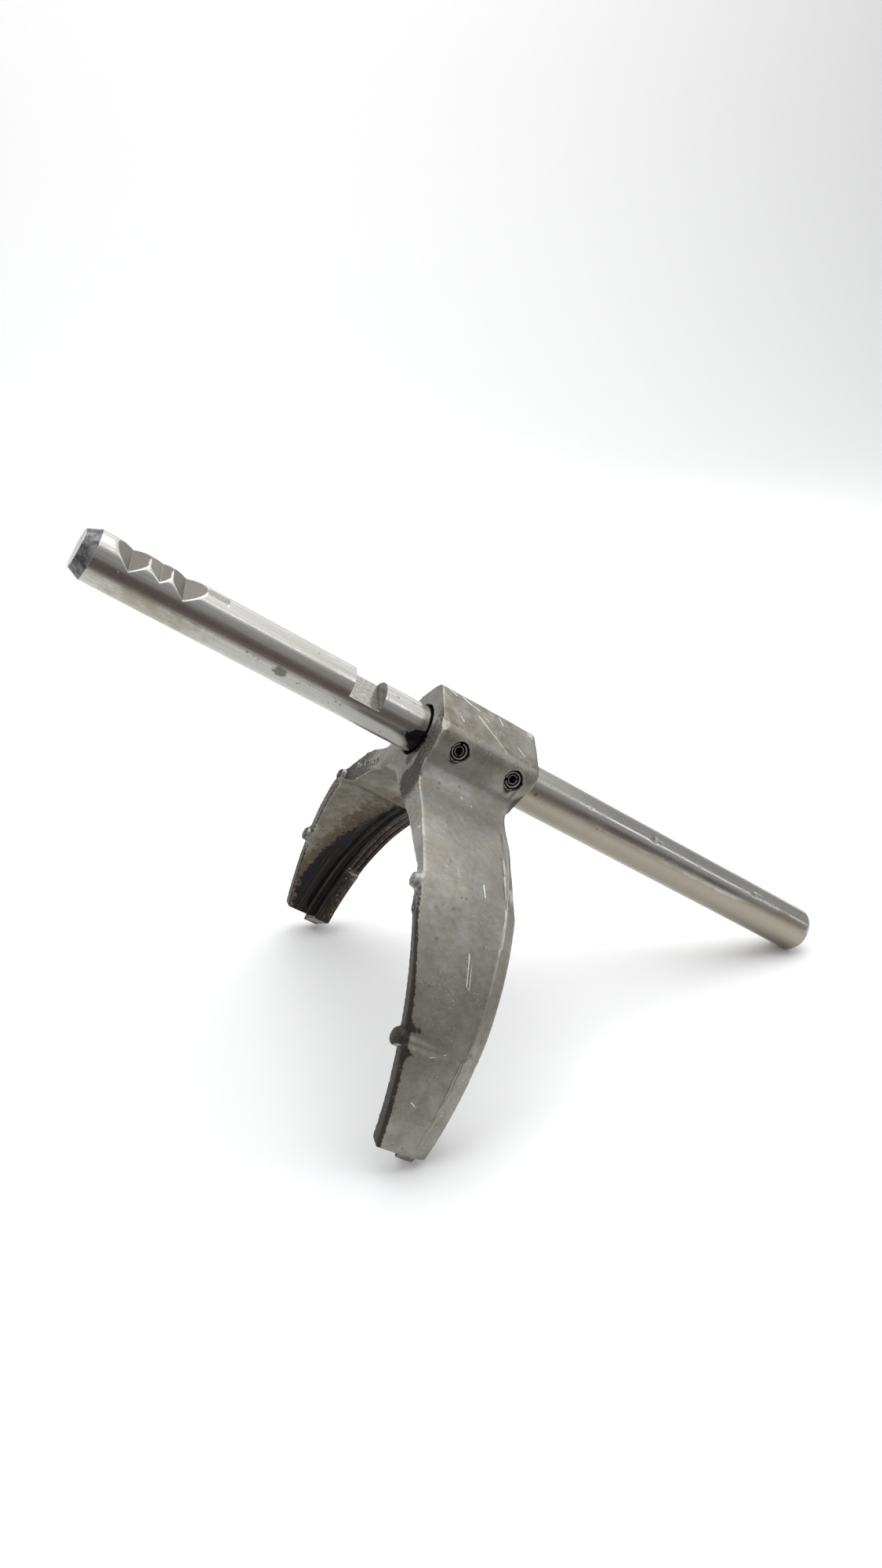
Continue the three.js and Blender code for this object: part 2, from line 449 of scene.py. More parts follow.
def build_ragged(tree, i):
    """1 where the amount is high, 0 where it is low, with an uneven edge between."""
    wobble = noise_of(tree, i["Position"], i["Scale"], 5.0, 0.65)
    moved = calc(tree, "ADD", i["Amount"], calc(tree, "MULTIPLY", calc(tree, "SUBTRACT", wobble, 0.5), i["Raggedness"]))
    return {"Mask": between(tree, moved, 0.38, 0.62)}


def build_scratch(tree, i):
    """A straight scratch from one place to another, uneven in width."""
    run = vector_calc(tree, "SUBTRACT", i["End"], i["Start"])
    here = vector_calc(tree, "SUBTRACT", i["Position"], i["Start"])
    share = calc(tree, "DIVIDE", vector_calc(tree, "DOT_PRODUCT", here, run, 1),
                 vector_calc(tree, "DOT_PRODUCT", run, run, 1))
    share = calc(tree, "MAXIMUM", calc(tree, "MINIMUM", share, 1.0), 0.0)
    nearest = add_node(tree, "VectorMath", {0: run, 3: share}, operation="SCALE").outputs[0]
    gap = vector_calc(tree, "LENGTH", vector_calc(tree, "SUBTRACT", here, nearest), out=1)
    width = calc(tree, "MULTIPLY", i["Width"], calc(tree, "ADD", noise_of(tree, i["Position"], 1.3, 2.0), 0.35))
    edge = calc(tree, "DIVIDE", gap, width)
    return {"Mask": between(tree, edge, 1.0, 0.45)}


def build_fine_scratches(tree, i):
    """Short hairline scratches in three directions, gathered in patches."""
    masks = []
    for angle, seed in ((0.5, 0.0), (-0.9, 31.0), (1.4, 67.0)):
        turned_to = add_node(tree, "VectorRotate", {"Vector": i["Position"], "Axis": (0.6, -0.7, 0.3), "Angle": angle},
                             rotation_type="AXIS_ANGLE").outputs[0]
        thin = vector_calc(tree, "ADD", vector_calc(tree, "MULTIPLY", turned_to, (3.2, 0.16, 1.6)), (seed, seed, seed))
        masks.append(between(tree, noise_of(tree, thin, 1.0, 1.0, 0.4), 0.735, 0.79))
    found = calc(tree, "MAXIMUM", calc(tree, "MAXIMUM", masks[0], masks[1]), masks[2])
    patches = between(tree, noise_of(tree, i["Position"], 0.09, 2.0), 0.42, 0.62)
    return {"Mask": calc(tree, "MULTIPLY", calc(tree, "MULTIPLY", found, patches), i["Amount"])}


def build_specks(tree, i):
    """Round specks of mixed sizes."""
    cells = add_node(tree, "TexVoronoi", {"Vector": i["Position"], "Scale": i["Scale"], "Randomness": 1.0})
    pick = add_node(tree, "SeparateColor", {0: cells.outputs["Color"]}).outputs
    radius = calc(tree, "MULTIPLY", pick[1], i["Size"])
    dots = between(tree, calc(tree, "SUBTRACT", cells.outputs["Distance"], radius), 0.04, -0.04)
    chosen = calc(tree, "GREATER_THAN", i["Share"], pick[0])
    return {"Mask": calc(tree, "MULTIPLY", dots, chosen)}


def build_skin(tree, i):
    """The fine relief and the clouded tone of a casting's skin."""
    fine = noise_of(tree, i["Position"], 2.6, 4.0, 0.6)
    medium = noise_of(tree, i["Position"], 0.55, 3.0, 0.5)
    broad = noise_of(tree, i["Position"], 0.075, 3.0, 0.55, 0.4)
    height = calc(tree, "ADD", calc(tree, "MULTIPLY", fine, 0.35), calc(tree, "MULTIPLY", medium, 0.65))
    tone = calc(tree, "ADD", calc(tree, "MULTIPLY", between(tree, broad, 0.35, 0.68), 0.65),
                calc(tree, "MULTIPLY", between(tree, medium, 0.4, 0.65), 0.35))
    return {"Height": height, "Tone": tone}


def make_groups():
    """The effects that the materials share; each starts from a place in millimetres."""
    place = ("Position", "vector", (0, 0, 0))
    mask = [("Mask", "value")]
    group("Ragged mask", [place, ("Amount", "value", 0.0), ("Scale", "value", 1.0), ("Raggedness", "value", 0.6)],
          mask, build_ragged)
    group("Single scratch", [place, ("Start", "vector", (0, 0, 0)), ("End", "vector", (1, 0, 0)),
                             ("Width", "value", 0.2)], mask, build_scratch)
    group("Fine scratches", [place, ("Amount", "value", 1.0)], mask, build_fine_scratches)
    group("Specks", [place, ("Scale", "value", 1.0), ("Size", "value", 0.3), ("Share", "value", 0.3)],
          mask, build_specks)
    group("Casting skin", [place], [("Height", "value"), ("Tone", "value")], build_skin)


def millimetres(tree):
    """The place on the piece in the rail frame, in millimetres."""
    return add_node(tree, "Attribute", attribute_name="drawn_place").outputs["Vector"]


def attribute(tree, name):
    return add_node(tree, "Attribute", attribute_name=name).outputs["Fac"]


def new_material(name):
    material = bpy.data.materials.new(name)
    material.use_nodes = True
    tree = material.node_tree
    return material, tree, tree.nodes["Principled BSDF"]


def connect(tree, shader, colour=None, roughness=None, metallic=None, height=None, depth=0.0001):
    for name, socket in (("Base Color", colour), ("Roughness", roughness), ("Metallic", metallic)):
        if socket is not None:
            tree.links.new(socket, shader.inputs[name])
    if height is not None:
        bump_node = add_node(tree, "Bump", {"Height": height, "Distance": depth, "Strength": 1.0})
        tree.links.new(bump_node.outputs[0], shader.inputs["Normal"])


# Single scratches on the fork: start, end, width.
FORK_SCRATCHES = [
    ((8.0, -1.6, 15.9), (11.3, -3.2, 14.9), 0.42), ((14.0, -6.4, 12.8), (24.4, -15.9, 6.4), 0.26),
    ((2.6, -1.2, 16.1), (5.7, -2.5, 15.4), 0.40), ((22.4, -2.0, 15.7), (23.9, -4.6, 13.9), 0.20),
    ((29.3, -10.9, 9.8), (31.7, -13.3, 8.3), 0.28), ((11.9, -3.2, 14.9), (14.3, -3.9, 14.4), 0.24),
    ((6.6, -10.8, 9.9), (7.7, -12.3, 8.9), 0.22), ((17.0, -5.5, 13.3), (18.0, -6.6, 12.6), 0.2),
    ((20.8, -50.1, -30.8), (21.2, -53.8, -33.4), 0.36), ((18.7, -65.9, -48.2), (20.4, -70.0, -56.0), 0.30),
    ((20.0, -66.9, -49.8), (21.6, -70.2, -56.6), 0.16), ((24.8, -58.2, -37.6), (27.3, -58.5, -38.0), 0.34),
    ((23.7, -63.7, -44.8), (27.2, -62.3, -42.7), 0.34), ((20.3, -70.1, -56.1), (23.6, -70.9, -58.0), 0.26),
    ((27.1, -34.9, -21.3), (28.1, -37.6, -22.9), 0.24), ((15.8, -19.0, -12.2), (16.6, -20.8, -13.3), 0.3),
    ((19.7, -20.3, -13.2), (20.4, -22.8, -14.6), 0.24), ((17.3, -76.2, -77.0), (25.0, -75.5, -72.8), 0.12),
    ((14.2, -64.0, -45.0), (16.4, -65.0, -46.6), 0.16), ((22.5, -44.0, -27.2), (23.6, -46.0, -28.4), 0.2),
    ((17.0, -46.5, -28.8), (17.4, -48.0, -29.8), 0.22), ((18.5, -77.1, -90.0), (21.5, -77.1, -91.5), 0.4),
]


def along_arc(tree, at):
    """A place that changes slowly along the fork's arc and fast across it, for streaks."""
    x, y, z = add_node(tree, "SeparateXYZ", {0: at}).outputs
    from_centre = calc(tree, "ADD", z, ARC_DROP)
    radius = calc(tree, "SQRT", calc(tree, "ADD", calc(tree, "POWER", y, 2.0), calc(tree, "POWER", from_centre, 2.0)))
    across = {0: calc(tree, "MULTIPLY", x, 1.5), 1: calc(tree, "MULTIPLY", radius, 1.5),
              2: calc(tree, "MULTIPLY", y, 0.05)}
    return add_node(tree, "CombineXYZ", across).outputs[0]


def cast_metal():
    settings = bpy.context.scene.shift_fork.fork
    material, tree, shader = new_material("Die-cast aluminium")
    at = millimetres(tree)
    skin = use(tree, "Casting skin", Position=at)
    colour = blend_colour(tree, skin["Tone"], settings.metal, settings.shade)
    warm = between(tree, noise_of(tree, at, 0.11, 4.0, 0.6), 0.45, 0.7)
    colour = blend_colour(tree, calc(tree, "MULTIPLY", warm, 0.30), colour, (0.40, 0.34, 0.25))

    cloud = between(tree, noise_of(tree, at, 0.16, 5.0, 0.65), 0.3, 0.7, 0.35, 1.15)
    # Dark oily coat, which also paints shade on the far arm's inner face and on top of the boss
    film_and_shade = calc(tree, "MULTIPLY", attribute(tree, "film_and_shade"), cloud, clamp=True)
    colour = blend_colour(tree, calc(tree, "MULTIPLY", film_and_shade, 0.8), colour, (0.15, 0.131, 0.094))
    brown = use(tree, "Ragged mask", Position=at, Amount=attribute(tree, "brown"), Scale=0.35, Raggedness=0.9)["Mask"]
    colour = blend_colour(tree, calc(tree, "MULTIPLY", brown, 0.8), colour, (0.112, 0.081, 0.052))
    # Oil stain, which also carries painted shade on the near arm's front faces, the strip behind the parting line and
    # the arms' inner faces
    stain_and_shade = use(tree, "Ragged mask", Position=at, Amount=attribute(tree, "stain_and_shade"), Scale=1.1, Raggedness=0.75)["Mask"]
    colour = blend_colour(tree, calc(tree, "MULTIPLY", stain_and_shade, 0.93), colour, settings.stain_and_shade)

    dark = use(tree, "Specks", Position=at, Scale=0.55, Size=0.34, Share=0.16)["Mask"]
    tiny = use(tree, "Specks", Position=at, Scale=1.5, Size=0.30, Share=0.22)["Mask"]
    specks = calc(tree, "MAXIMUM", calc(tree, "MULTIPLY", dark, 0.55), calc(tree, "MULTIPLY", tiny, 0.5))
    colour = blend_colour(tree, specks, colour, (0.12, 0.085, 0.06))
    # Painted shade: dark brown in the casting's hollows and inner corners
    hollow_shade = use(tree, "Ragged mask", Position=at, Amount=attribute(tree, "hollow_shade"), Scale=1.6, Raggedness=0.6)["Mask"]
    colour = blend_colour(tree, calc(tree, "MULTIPLY", hollow_shade, 0.75), colour, (0.06, 0.048, 0.038))

    worn = use(tree, "Ragged mask", Position=at, Amount=attribute(tree, "edge"), Scale=0.9, Raggedness=0.55)["Mask"]
    rub = use(tree, "Ragged mask", Position=at, Amount=attribute(tree, "rub"), Scale=1.8, Raggedness=0.9)["Mask"]
    scratch = use(tree, "Fine scratches", Position=at, Amount=0.8)["Mask"]
    for start, end, width in FORK_SCRATCHES:
        one = use(tree, "Single scratch", Position=at, Start=start, End=end, Width=width)["Mask"]
        scratch = calc(tree, "MAXIMUM", scratch, one)
    rubbed = calc(tree, "MAXIMUM", scratch, calc(tree, "MULTIPLY", rub, 0.7))
    bright = calc(tree, "MAXIMUM", calc(tree, "MULTIPLY", worn, 0.34), rubbed)
    colour = blend_colour(tree, bright, colour, (0.83, 0.82, 0.79))

    # Black oil, which also paints shade on the far tongue's front face
    oil = use(tree, "Ragged mask", Position=at, Amount=attribute(tree, "oil"), Scale=0.6, Raggedness=1.1)["Mask"]
    streaks = between(tree, noise_of(tree, along_arc(tree, at), 1.0, 3.0, 0.6), 0.5, 0.72)
    colour = blend_colour(tree, oil, colour, blend_colour(tree, streaks, (0.008, 0.008, 0.010), (0.085, 0.055, 0.032)))

    # The stain and oil masks here also carry painted shade, which likewise makes the metal less metallic
    dirt = calc(tree, "MAXIMUM", calc(tree, "MAXIMUM", calc(tree, "MULTIPLY", stain_and_shade, 0.75), specks), oil)
    metallic = between(tree, dirt, 0.0, 1.0, 0.92, 0.12)
    roughness = blend_value(tree, skin["Tone"], 0.44, 0.56)
    roughness = blend_value(tree, bright, roughness, 0.34)
    roughness = blend_value(tree, calc(tree, "MULTIPLY", stain_and_shade, 0.8), roughness, 0.5)
    roughness = blend_value(tree, oil, roughness, 0.16)
    relief = calc(tree, "SUBTRACT", skin["Height"], calc(tree, "MULTIPLY", scratch, 0.7))
    relief = calc(tree, "SUBTRACT", relief, calc(tree, "MULTIPLY", specks, 0.35))
    relief = blend_value(tree, oil, relief, 0.8)
    connect(tree, shader, colour, roughness, metallic, relief, 0.00009)
    shader.inputs["Specular IOR Level"].default_value = 0.22
    return material


def ground_steel():
    settings = bpy.context.scene.shift_fork.rail
    material, tree, shader = new_material("Ground shaft steel")
    at = millimetres(tree)
    fine = noise_of(tree, vector_calc(tree, "MULTIPLY", at, (7.0, 0.05, 0.05)), 1.0, 2.0, 0.6)
    drawn = noise_of(tree, vector_calc(tree, "MULTIPLY", at, (0.02, 1.6, 1.6)), 1.0, 3.0, 0.6)
    broad = noise_of(tree, at, 0.06, 4.0, 0.6, 0.3)
    colour = blend_colour(tree, between(tree, drawn, 0.35, 0.7), settings.steel, (0.41, 0.405, 0.39))
    tint = calc(tree, "MULTIPLY", between(tree, broad, 0.4, 0.7), 0.35)
    colour = blend_colour(tree, tint, colour, (0.40, 0.37, 0.30))
    # This mask grows towards the rail's underside, darkening it there
    film_and_shade = use(tree, "Ragged mask", Position=at, Amount=attribute(tree, "film_and_shade"), Scale=0.22, Raggedness=0.5)["Mask"]
    colour = blend_colour(tree, calc(tree, "MULTIPLY", film_and_shade, 0.78), colour, settings.film_and_shade)
    cut_face = use(tree, "Ragged mask", Position=at, Amount=attribute(tree, "cut"), Scale=1.0, Raggedness=0.35)["Mask"]
    colour = blend_colour(tree, calc(tree, "MULTIPLY", cut_face, 0.8), colour, (0.115, 0.097, 0.077))
    chamfer = use(tree, "Ragged mask", Position=at, Amount=attribute(tree, "scale"), Scale=0.7, Raggedness=0.5)["Mask"]
    clouds = between(tree, noise_of(tree, at, 0.45, 4.0, 0.65), 0.35, 0.65)
    mottled = blend_colour(tree, clouds, (0.075, 0.076, 0.080), (0.24, 0.24, 0.235))
    colour = blend_colour(tree, chamfer, colour, mottled)
    specks = use(tree, "Specks", Position=at, Scale=0.62, Size=0.26, Share=0.2)["Mask"]
    tiny = use(tree, "Specks", Position=at, Scale=1.7, Size=0.26, Share=0.14)["Mask"]
    specks = calc(tree, "MAXIMUM", calc(tree, "MULTIPLY", specks, 0.5), calc(tree, "MULTIPLY", tiny, 0.45))
    colour = blend_colour(tree, specks, colour, (0.20, 0.165, 0.11))
    spot = use(tree, "Ragged mask", Position=at, Amount=attribute(tree, "spot"), Scale=0.9, Raggedness=0.7)["Mask"]
    colour = blend_colour(tree, calc(tree, "MULTIPLY", spot, 0.82), colour, (0.10, 0.092, 0.072))
    # Worn edges, with a painted highlight along two notch ridges
    worn = use(tree, "Ragged mask", Position=at, Amount=attribute(tree, "edge"), Scale=1.2, Raggedness=0.4)["Mask"]
    colour = blend_colour(tree, calc(tree, "MULTIPLY", worn, 0.7), colour, (0.80, 0.79, 0.76))
    oil = use(tree, "Ragged mask", Position=at, Amount=attribute(tree, "oil"), Scale=0.55, Raggedness=0.75)["Mask"]
    colour = blend_colour(tree, oil, colour, (0.006, 0.006, 0.008))

    dirt = calc(tree, "MAXIMUM", calc(tree, "MULTIPLY", spot, 0.5), calc(tree, "MAXIMUM", specks, oil))
    metallic = between(tree, dirt, 0.0, 1.0, 1.0, 0.1)
    roughness = blend_value(tree, between(tree, broad, 0.35, 0.7), 0.20, 0.30)
    roughness = blend_value(tree, film_and_shade, roughness, 0.34)
    roughness = blend_value(tree, calc(tree, "MULTIPLY", cut_face, 0.8), roughness, 0.36)
    roughness = blend_value(tree, chamfer, roughness, 0.55)
    roughness = blend_value(tree, specks, roughness, 0.5)
    roughness = blend_value(tree, oil, roughness, 0.12)
    relief = calc(tree, "ADD", calc(tree, "MULTIPLY", fine, 0.10), calc(tree, "MULTIPLY", drawn, 0.12))
    relief = calc(tree, "SUBTRACT", relief, calc(tree, "MULTIPLY", specks, 0.5))
    rough_skin = calc(tree, "MULTIPLY", noise_of(tree, at, 1.4, 4.0, 0.65), calc(tree, "MULTIPLY", chamfer, 1.6))
    relief = calc(tree, "ADD", relief, rough_skin)
    connect(tree, shader, colour, roughness, metallic, relief, 0.00003)
    return material


def spring_steel(name, tone):
    settings = bpy.context.scene.shift_fork.pins
    material, tree, shader = new_material(name)
    at = millimetres(tree)
    base = tuple(c * tone for c in settings.steel)
    mottled = between(tree, noise_of(tree, at, 1.2, 4.0, 0.6), 0.35, 0.7)
    colour = blend_colour(tree, mottled, base, tuple(c * 0.45 for c in base))
    worn = use(tree, "Ragged mask", Position=at, Amount=attribute(tree, "edge"), Scale=1.6, Raggedness=0.6)["Mask"]
    colour = blend_colour(tree, calc(tree, "MULTIPLY", worn, 0.8), colour, (0.62, 0.60, 0.57))
    grime = use(tree, "Specks", Position=at, Scale=1.6, Size=0.5, Share=0.4)["Mask"]
    colour = blend_colour(tree, calc(tree, "MULTIPLY", grime, 0.6), colour, (0.05, 0.035, 0.025))
    roughness = blend_value(tree, mottled, 0.26, 0.42)
    metallic = between(tree, grime, 0.0, 1.0, 1.0, 0.4)
    connect(tree, shader, colour, roughness, metallic, noise_of(tree, at, 2.5, 3.0), 0.00003)
    return material


# ---------- shift rail ----------

def cut_height(x):
    """Height of the cuts above the rail's axis, measured square to the cut side."""
    if DETENTS[0][0] <= x <= DETENTS[-1][0]:
        return float(np.interp(x, *zip(*DETENTS)))
    if SLOT_START <= x <= SLOT_END:
        return SLOT_FLOOR
    return UNCUT


def turned_radius(x):
    """Radius of the turned rail: a chamfered front end and a rounded rear end."""
    radius = RAIL_RADIUS
    if x < RAIL_FRONT + CHAMFER_LENGTH:
        radius = CHAMFER_RADIUS + (RAIL_RADIUS - CHAMFER_RADIUS) * (x - RAIL_FRONT) / CHAMFER_LENGTH
    if x > RAIL_REAR - REAR_ROUND:
        radius = RAIL_RADIUS - REAR_ROUND + math.sqrt(max(0.0, REAR_ROUND ** 2 - (x - RAIL_REAR + REAR_ROUND) ** 2))
    return radius


def rail_stations():
    """Places along the rail, close together where there is something to show."""
    def run(start, end, step):
        return list(np.arange(start, end, step))
    x = run(RAIL_FRONT, -112.6, 0.5) + run(-112.6, -71.8, 0.2) + run(-71.8, -28.5, 0.9)
    x += [-28.04, -27.98] + run(-27.6, -17.3, 0.5) + [-17.12, -17.06]
    x += run(-16.8, 0, 0.4) + run(0, 36, 3) + run(36, RAIL_REAR - REAR_ROUND, 0.7)
    x += [RAIL_REAR - REAR_ROUND + REAR_ROUND * math.sin(math.radians(t)) for t in range(0, 91, 9)]
    return sorted(set(round(v, 4) for v in x))


# Nicks and dents: x, turn from the top in degrees, length along, length round, depth.
RAIL_NICKS = [
    (94.3, 50, 1.0, 1.4, 0.28), (142.7, 54, 0.8, 1.0, 0.25), (97.2, 52, 1.4, 0.35, 0.15), (145.2, 52, 1.6, 0.4, 0.16),
    (-12.6, 42, 0.5, 0.8, 0.14), (-6.8, 36, 0.6, 0.5, 0.10), (66.0, 61, 0.5, 0.5, 0.12), (118.0, 44, 0.7, 0.5, 0.1),
]
# Dark dots: x, turn from the top in degrees, radius.
RAIL_DOTS = [(44.5, 96, 1.1), (48.2, 108, 0.7), (42, 120, 0.5), (-9.5, 92, 0.5), (63, 84, 0.5), (71, 100, 0.6),
             (-62, 118, 0.8), (-44, 128, 0.6)]
ROUND = RAIL_RADIUS * math.pi / 180       # millimetres round the rail for each degree


def make_rail_mesh(sides, softness):
    """The turned rail as rings of points, with its cuts, nicks and closed ends."""
    turns = np.linspace(0, 2 * math.pi, sides, endpoint=False)
    from_cut = np.cos(turns - math.radians(CUT_SIDE))
    points = []
    for x in rail_stations():
        base = np.full(sides, turned_radius(x))
        height = cut_height(x)
        with np.errstate(divide="ignore"):
            flat = np.where(from_cut > 1e-3, height / np.maximum(from_cut, 1e-3), UNCUT)
        low = np.minimum(base, flat)
        soft = low - softness * np.log1p(np.exp(-np.abs(base - flat) / softness))
        radius = np.where(np.abs(base - flat) < 8 * softness, soft, low)
        for nx, turn, along, round_, depth in RAIL_NICKS:
            if abs(x - nx) < 3 * along:
                gap = (np.degrees(turns) - turn + 180) % 360 - 180
                radius = radius - depth * np.exp(-((x - nx) / along) ** 2 - (gap * ROUND / round_) ** 2)
        points.append(np.stack([np.full(sides, x), -radius * np.sin(turns), radius * np.cos(turns)], 1))
    rows = len(points)
    grid = np.concatenate(points)
    k = np.arange(rows - 1)[:, None] * sides
    a = np.arange(sides)[None, :]
    b = (a + 1) % sides
    faces = np.stack([k + a, k + b, k + sides + b, k + sides + a], -1).reshape(-1, 4)[:, ::-1].tolist()
    first, last = points[0], points[-1]
    extra = []
    for ring, start, flip in ((first, 0, False), (last, (rows - 1) * sides, True)):
        previous = list(range(start, start + sides))
        for share in (0.97, 0.6, 0.25):
            inner = ring.copy()
            inner[:, 1:] *= share
            base_index = len(grid) + sum(len(e) for e in extra)
            extra.append(inner)
            current = list(range(base_index, base_index + sides))
            for i in range(sides):
                j = (i + 1) % sides
                face = [previous[i], previous[j], current[j], current[i]]
                faces.append(face if not flip else face[::-1])
            previous = current
        faces.append(previous if not flip else previous[::-1])
    verts = np.concatenate([grid] + extra)
    mesh = bpy.data.meshes.new("shift_rail_fine")
    mesh.from_pydata(verts.tolist(), [], faces)
    bm = bmesh.new()
    bm.from_mesh(mesh)
    bmesh.ops.recalc_face_normals(bm, faces=bm.faces[:])
    bm.to_mesh(mesh)
    bm.free()
    return mesh


def paint_rail(mesh):
    """Where the rail is cut, dark, stained, oily or worn, with a painted highlight on two notch ridges."""
    co = points_of(mesh)
    x, y, z = co.T
    radius = np.hypot(y, z)
    turn = np.degrees(np.arctan2(-y, z))
    in_cut = ((x > -109.6) & (x < -72.4)) | ((x > SLOT_START - 0.05) & (x < SLOT_END + 0.05))
    depth = RAIL_RADIUS - radius
    in_notch = in_cut & (x < -79)
    wall = (np.abs(x - SLOT_END) < 0.12) & (RAIL_RADIUS * np.cos(np.radians(turn - CUT_SIDE)) > SLOT_FLOOR + 0.2)
    milled = np.where(x > -40, 0.5, 0.52) * smoothstep(0.08, 0.2, depth)
    store(mesh, "cut", np.where(in_notch, smoothstep(0.1, 0.5, depth), 0) + np.where(in_cut & ~in_notch, milled, 0))
    # Painted highlight along the tips of two notch ridges
    ridge_highlight = np.maximum(bump(x, -97.6, 0.5), bump(x, -90.5, 0.5)) * in_cut * bump(turn, 36, 22)
    rim = in_cut * bump(depth, 0.07, 0.06)
    store(mesh, "edge", ridge_highlight + rim * 0.38 + bump(x, -112.6, 0.22) * 0.5)
    store(mesh, "scale", smoothstep(-112.3, -112.9, x) * np.where(x < RAIL_FRONT + 0.1, 0.35, 1))
    patch = np.exp(-((x + 50.3) / 3.4) ** 2 - ((turn - 122) / 17) ** 2)
    nicks = sum(np.exp(-((x - n[0]) / (n[2] * 0.8)) ** 2 - ((turn - n[1]) * 0.14 / n[3]) ** 2) for n in RAIL_NICKS)
    dots = sum(np.exp(-((x - dx) ** 2 + ((turn - t) * 0.14) ** 2) / r ** 2) for dx, t, r in RAIL_DOTS)
    store(mesh, "spot", wall * 1.3 + patch * 0.75 + np.clip(nicks, 0, 1) * 0.7 + dots * 0.7)
    rear = np.exp(-((x - 160) / 11) ** 2) * np.exp(-((turn - 95) / 34) ** 2)
    rear += np.exp(-((x - 143) / 5) ** 2 - ((turn - 96) / 14) ** 2) * 0.8
    notch_grime = np.exp(-((x + 93) / 20) ** 2) * smoothstep(60, 110, turn) * 0.25
    # Darker and browner towards the underside, more over the rear half
    below = 0.34 * smoothstep(85, 125, np.abs(turn))
    below += np.where(x > 34, 0.42 * smoothstep(80, 100, np.abs(turn)) + 0.12, 0)
    ring = 0.45 * bump(x, 39, 2.2)
    store(mesh, "film_and_shade", rear + notch_grime + below + ring)
    reach = 2.6 + 4.2 * bump(turn, 112, 16)
    blob = bump(x, -0.5, reach) * smoothstep(84, 92, turn) * smoothstep(158, 140, turn)
    gap = bump(x, -0.1, 0.5) * 0.9
    store(mesh, "oil", blob * 1.1 + gap + wall * 0.47)


class SHIFTFORK_OT_rail(bpy.types.Operator):
    """Turn the shift rail, with its detent notches, selector slot, nicks, stains and a painted highlight on two notch
    ridges
    """
    bl_idname = "shift_fork.rail"
    bl_label = "Shift rail"

    def execute(self, context):
        settings = context.scene.shift_fork.rail
        mesh = make_rail_mesh(settings.sides, max(settings.worn_edge / MM, 0.01))
        piece = new_piece("ground_shift_rail", mesh)
        cut(piece, [turned("y", (place, 0), [(-20, 3.05), (20, 3.05)]) for place in PIN_PLACES])
        paint_rail(piece.data)
        piece.data.shade_smooth()
        piece.data.set_sharp_from_angle(angle=math.radians(28))
        finished(piece, ground_steel(), "ground_steel", "shift_rail")
        return {"FINISHED"}


# ---------- fork ----------

def band_ring(outer_drop, outer_radius, inner_drop, inner_radius, turn, front, back):
    """The corners of a band between two circles at one turn; without a front, it follows the arms' side."""
    (oy, oz), (iy, iz) = onarc(outer_drop, outer_radius, turn), onarc(inner_drop, inner_radius, turn)
    front_out = front if front is not None else side_at(oy, oz)
    front_in = front if front is not None else side_at(iy, iz)
    return [(front_out, oy, oz), (back, oy, oz), (back, iy, iz), (front_in, iy, iz)]


def turns_between(start, end, step=1.5):
    count = round(abs(end - start) / step)
    return [start + (end - start) * i / count for i in range(count + 1)]


def arm_rings(start, end):
    return [band_ring(ARC_DROP, OUTER_RADIUS, ARC_DROP, WEB_INNER, turn, None, WEB_WIDTH)
            for turn in turns_between(start, end)]


def tongue_rings(start, end, inner):
    return [band_ring(ARC_DROP, OUTER_RADIUS - TONGUE_OVERLAP, GROOVE_DROP, inner, turn, TONGUE_FRONT, TONGUE_REAR)
            for turn in turns_between(start, end)]


# Ejector lugs on the arms' front side: turn, radius, how far they stand out. The rib rises behind the second.
RIB_TURN = 80.3
LUGS = [(46.8, 2.6, 2.2), (RIB_TURN, 2.7, 2.4), (-33.4, 2.6, 2.0), (-62.1, 2.7, 2.2)]


def rough_casting():
    """The casting as overlapping solids, before it is joined and softened."""
    bm = bmesh.new()
    middle = arc(ARC_DROP, OUTER_RADIUS, 54, 46) + rounded(NEAR_ROOT) + FACET + rounded(FAR_ROOT)
    middle += arc(ARC_DROP, OUTER_RADIUS, -32, -36) + arc(ARC_DROP, WEB_INNER, -36, -33) + rounded(INNER_ROOT)
    middle += arc(ARC_DROP, WEB_INNER, 42, 54)
    prism(bm, middle, 0, WEB_WIDTH)
    loft(bm, arm_rings(49, NEAR_END))
    loft(bm, arm_rings(-31, FAR_END))
    loft(bm, tongue_rings(TONGUE_FAR, TONGUE_NEAR, TONGUE_RADIUS - 2))
    prism(bm, rounded(NEAR_ROOT[4:]) + FACET + rounded(FAR_ROOT[:4]) + BOSS_BOTTOM, 0, BOSS_LENGTH)
    for turn, radius, stand in LUGS:
        centre = onarc(ARC_DROP, 74.2, turn)
        side = side_at(*centre)
        loft(bm, [turned_ring("x", centre, r, x, 24) for x, r in
                  ((side + 4, radius), (side - stand + 0.5, radius), (side - stand, radius - 0.6))])
    loft(bm, rib_rings())
    return to_mesh(bm, "fork_rough")


def rib_rings(sides=12):
    """The low rib across the near arm's outside, fading towards the rear."""
    turn = math.radians(RIB_TURN)
    spine = onarc(ARC_DROP, 76.7, RIB_TURN)
    rings = []
    for x, half, high in ((6.5, 1.9, 1.25), (9, 1.5, 1.15), (14, 1.35, 0.95), (20, 1.2, 0.65), (25, 0.9, 0.2)):
        ring = []
        for i in range(sides):
            t = 2 * math.pi * i / sides
            round_, out = half * math.cos(t), high * math.sin(t)
            ring.append((x, spine[0] - out * math.sin(turn) - round_ * math.cos(turn),
                         spine[1] + out * math.cos(turn) - round_ * math.sin(turn)))
        rings.append(ring)
    return rings


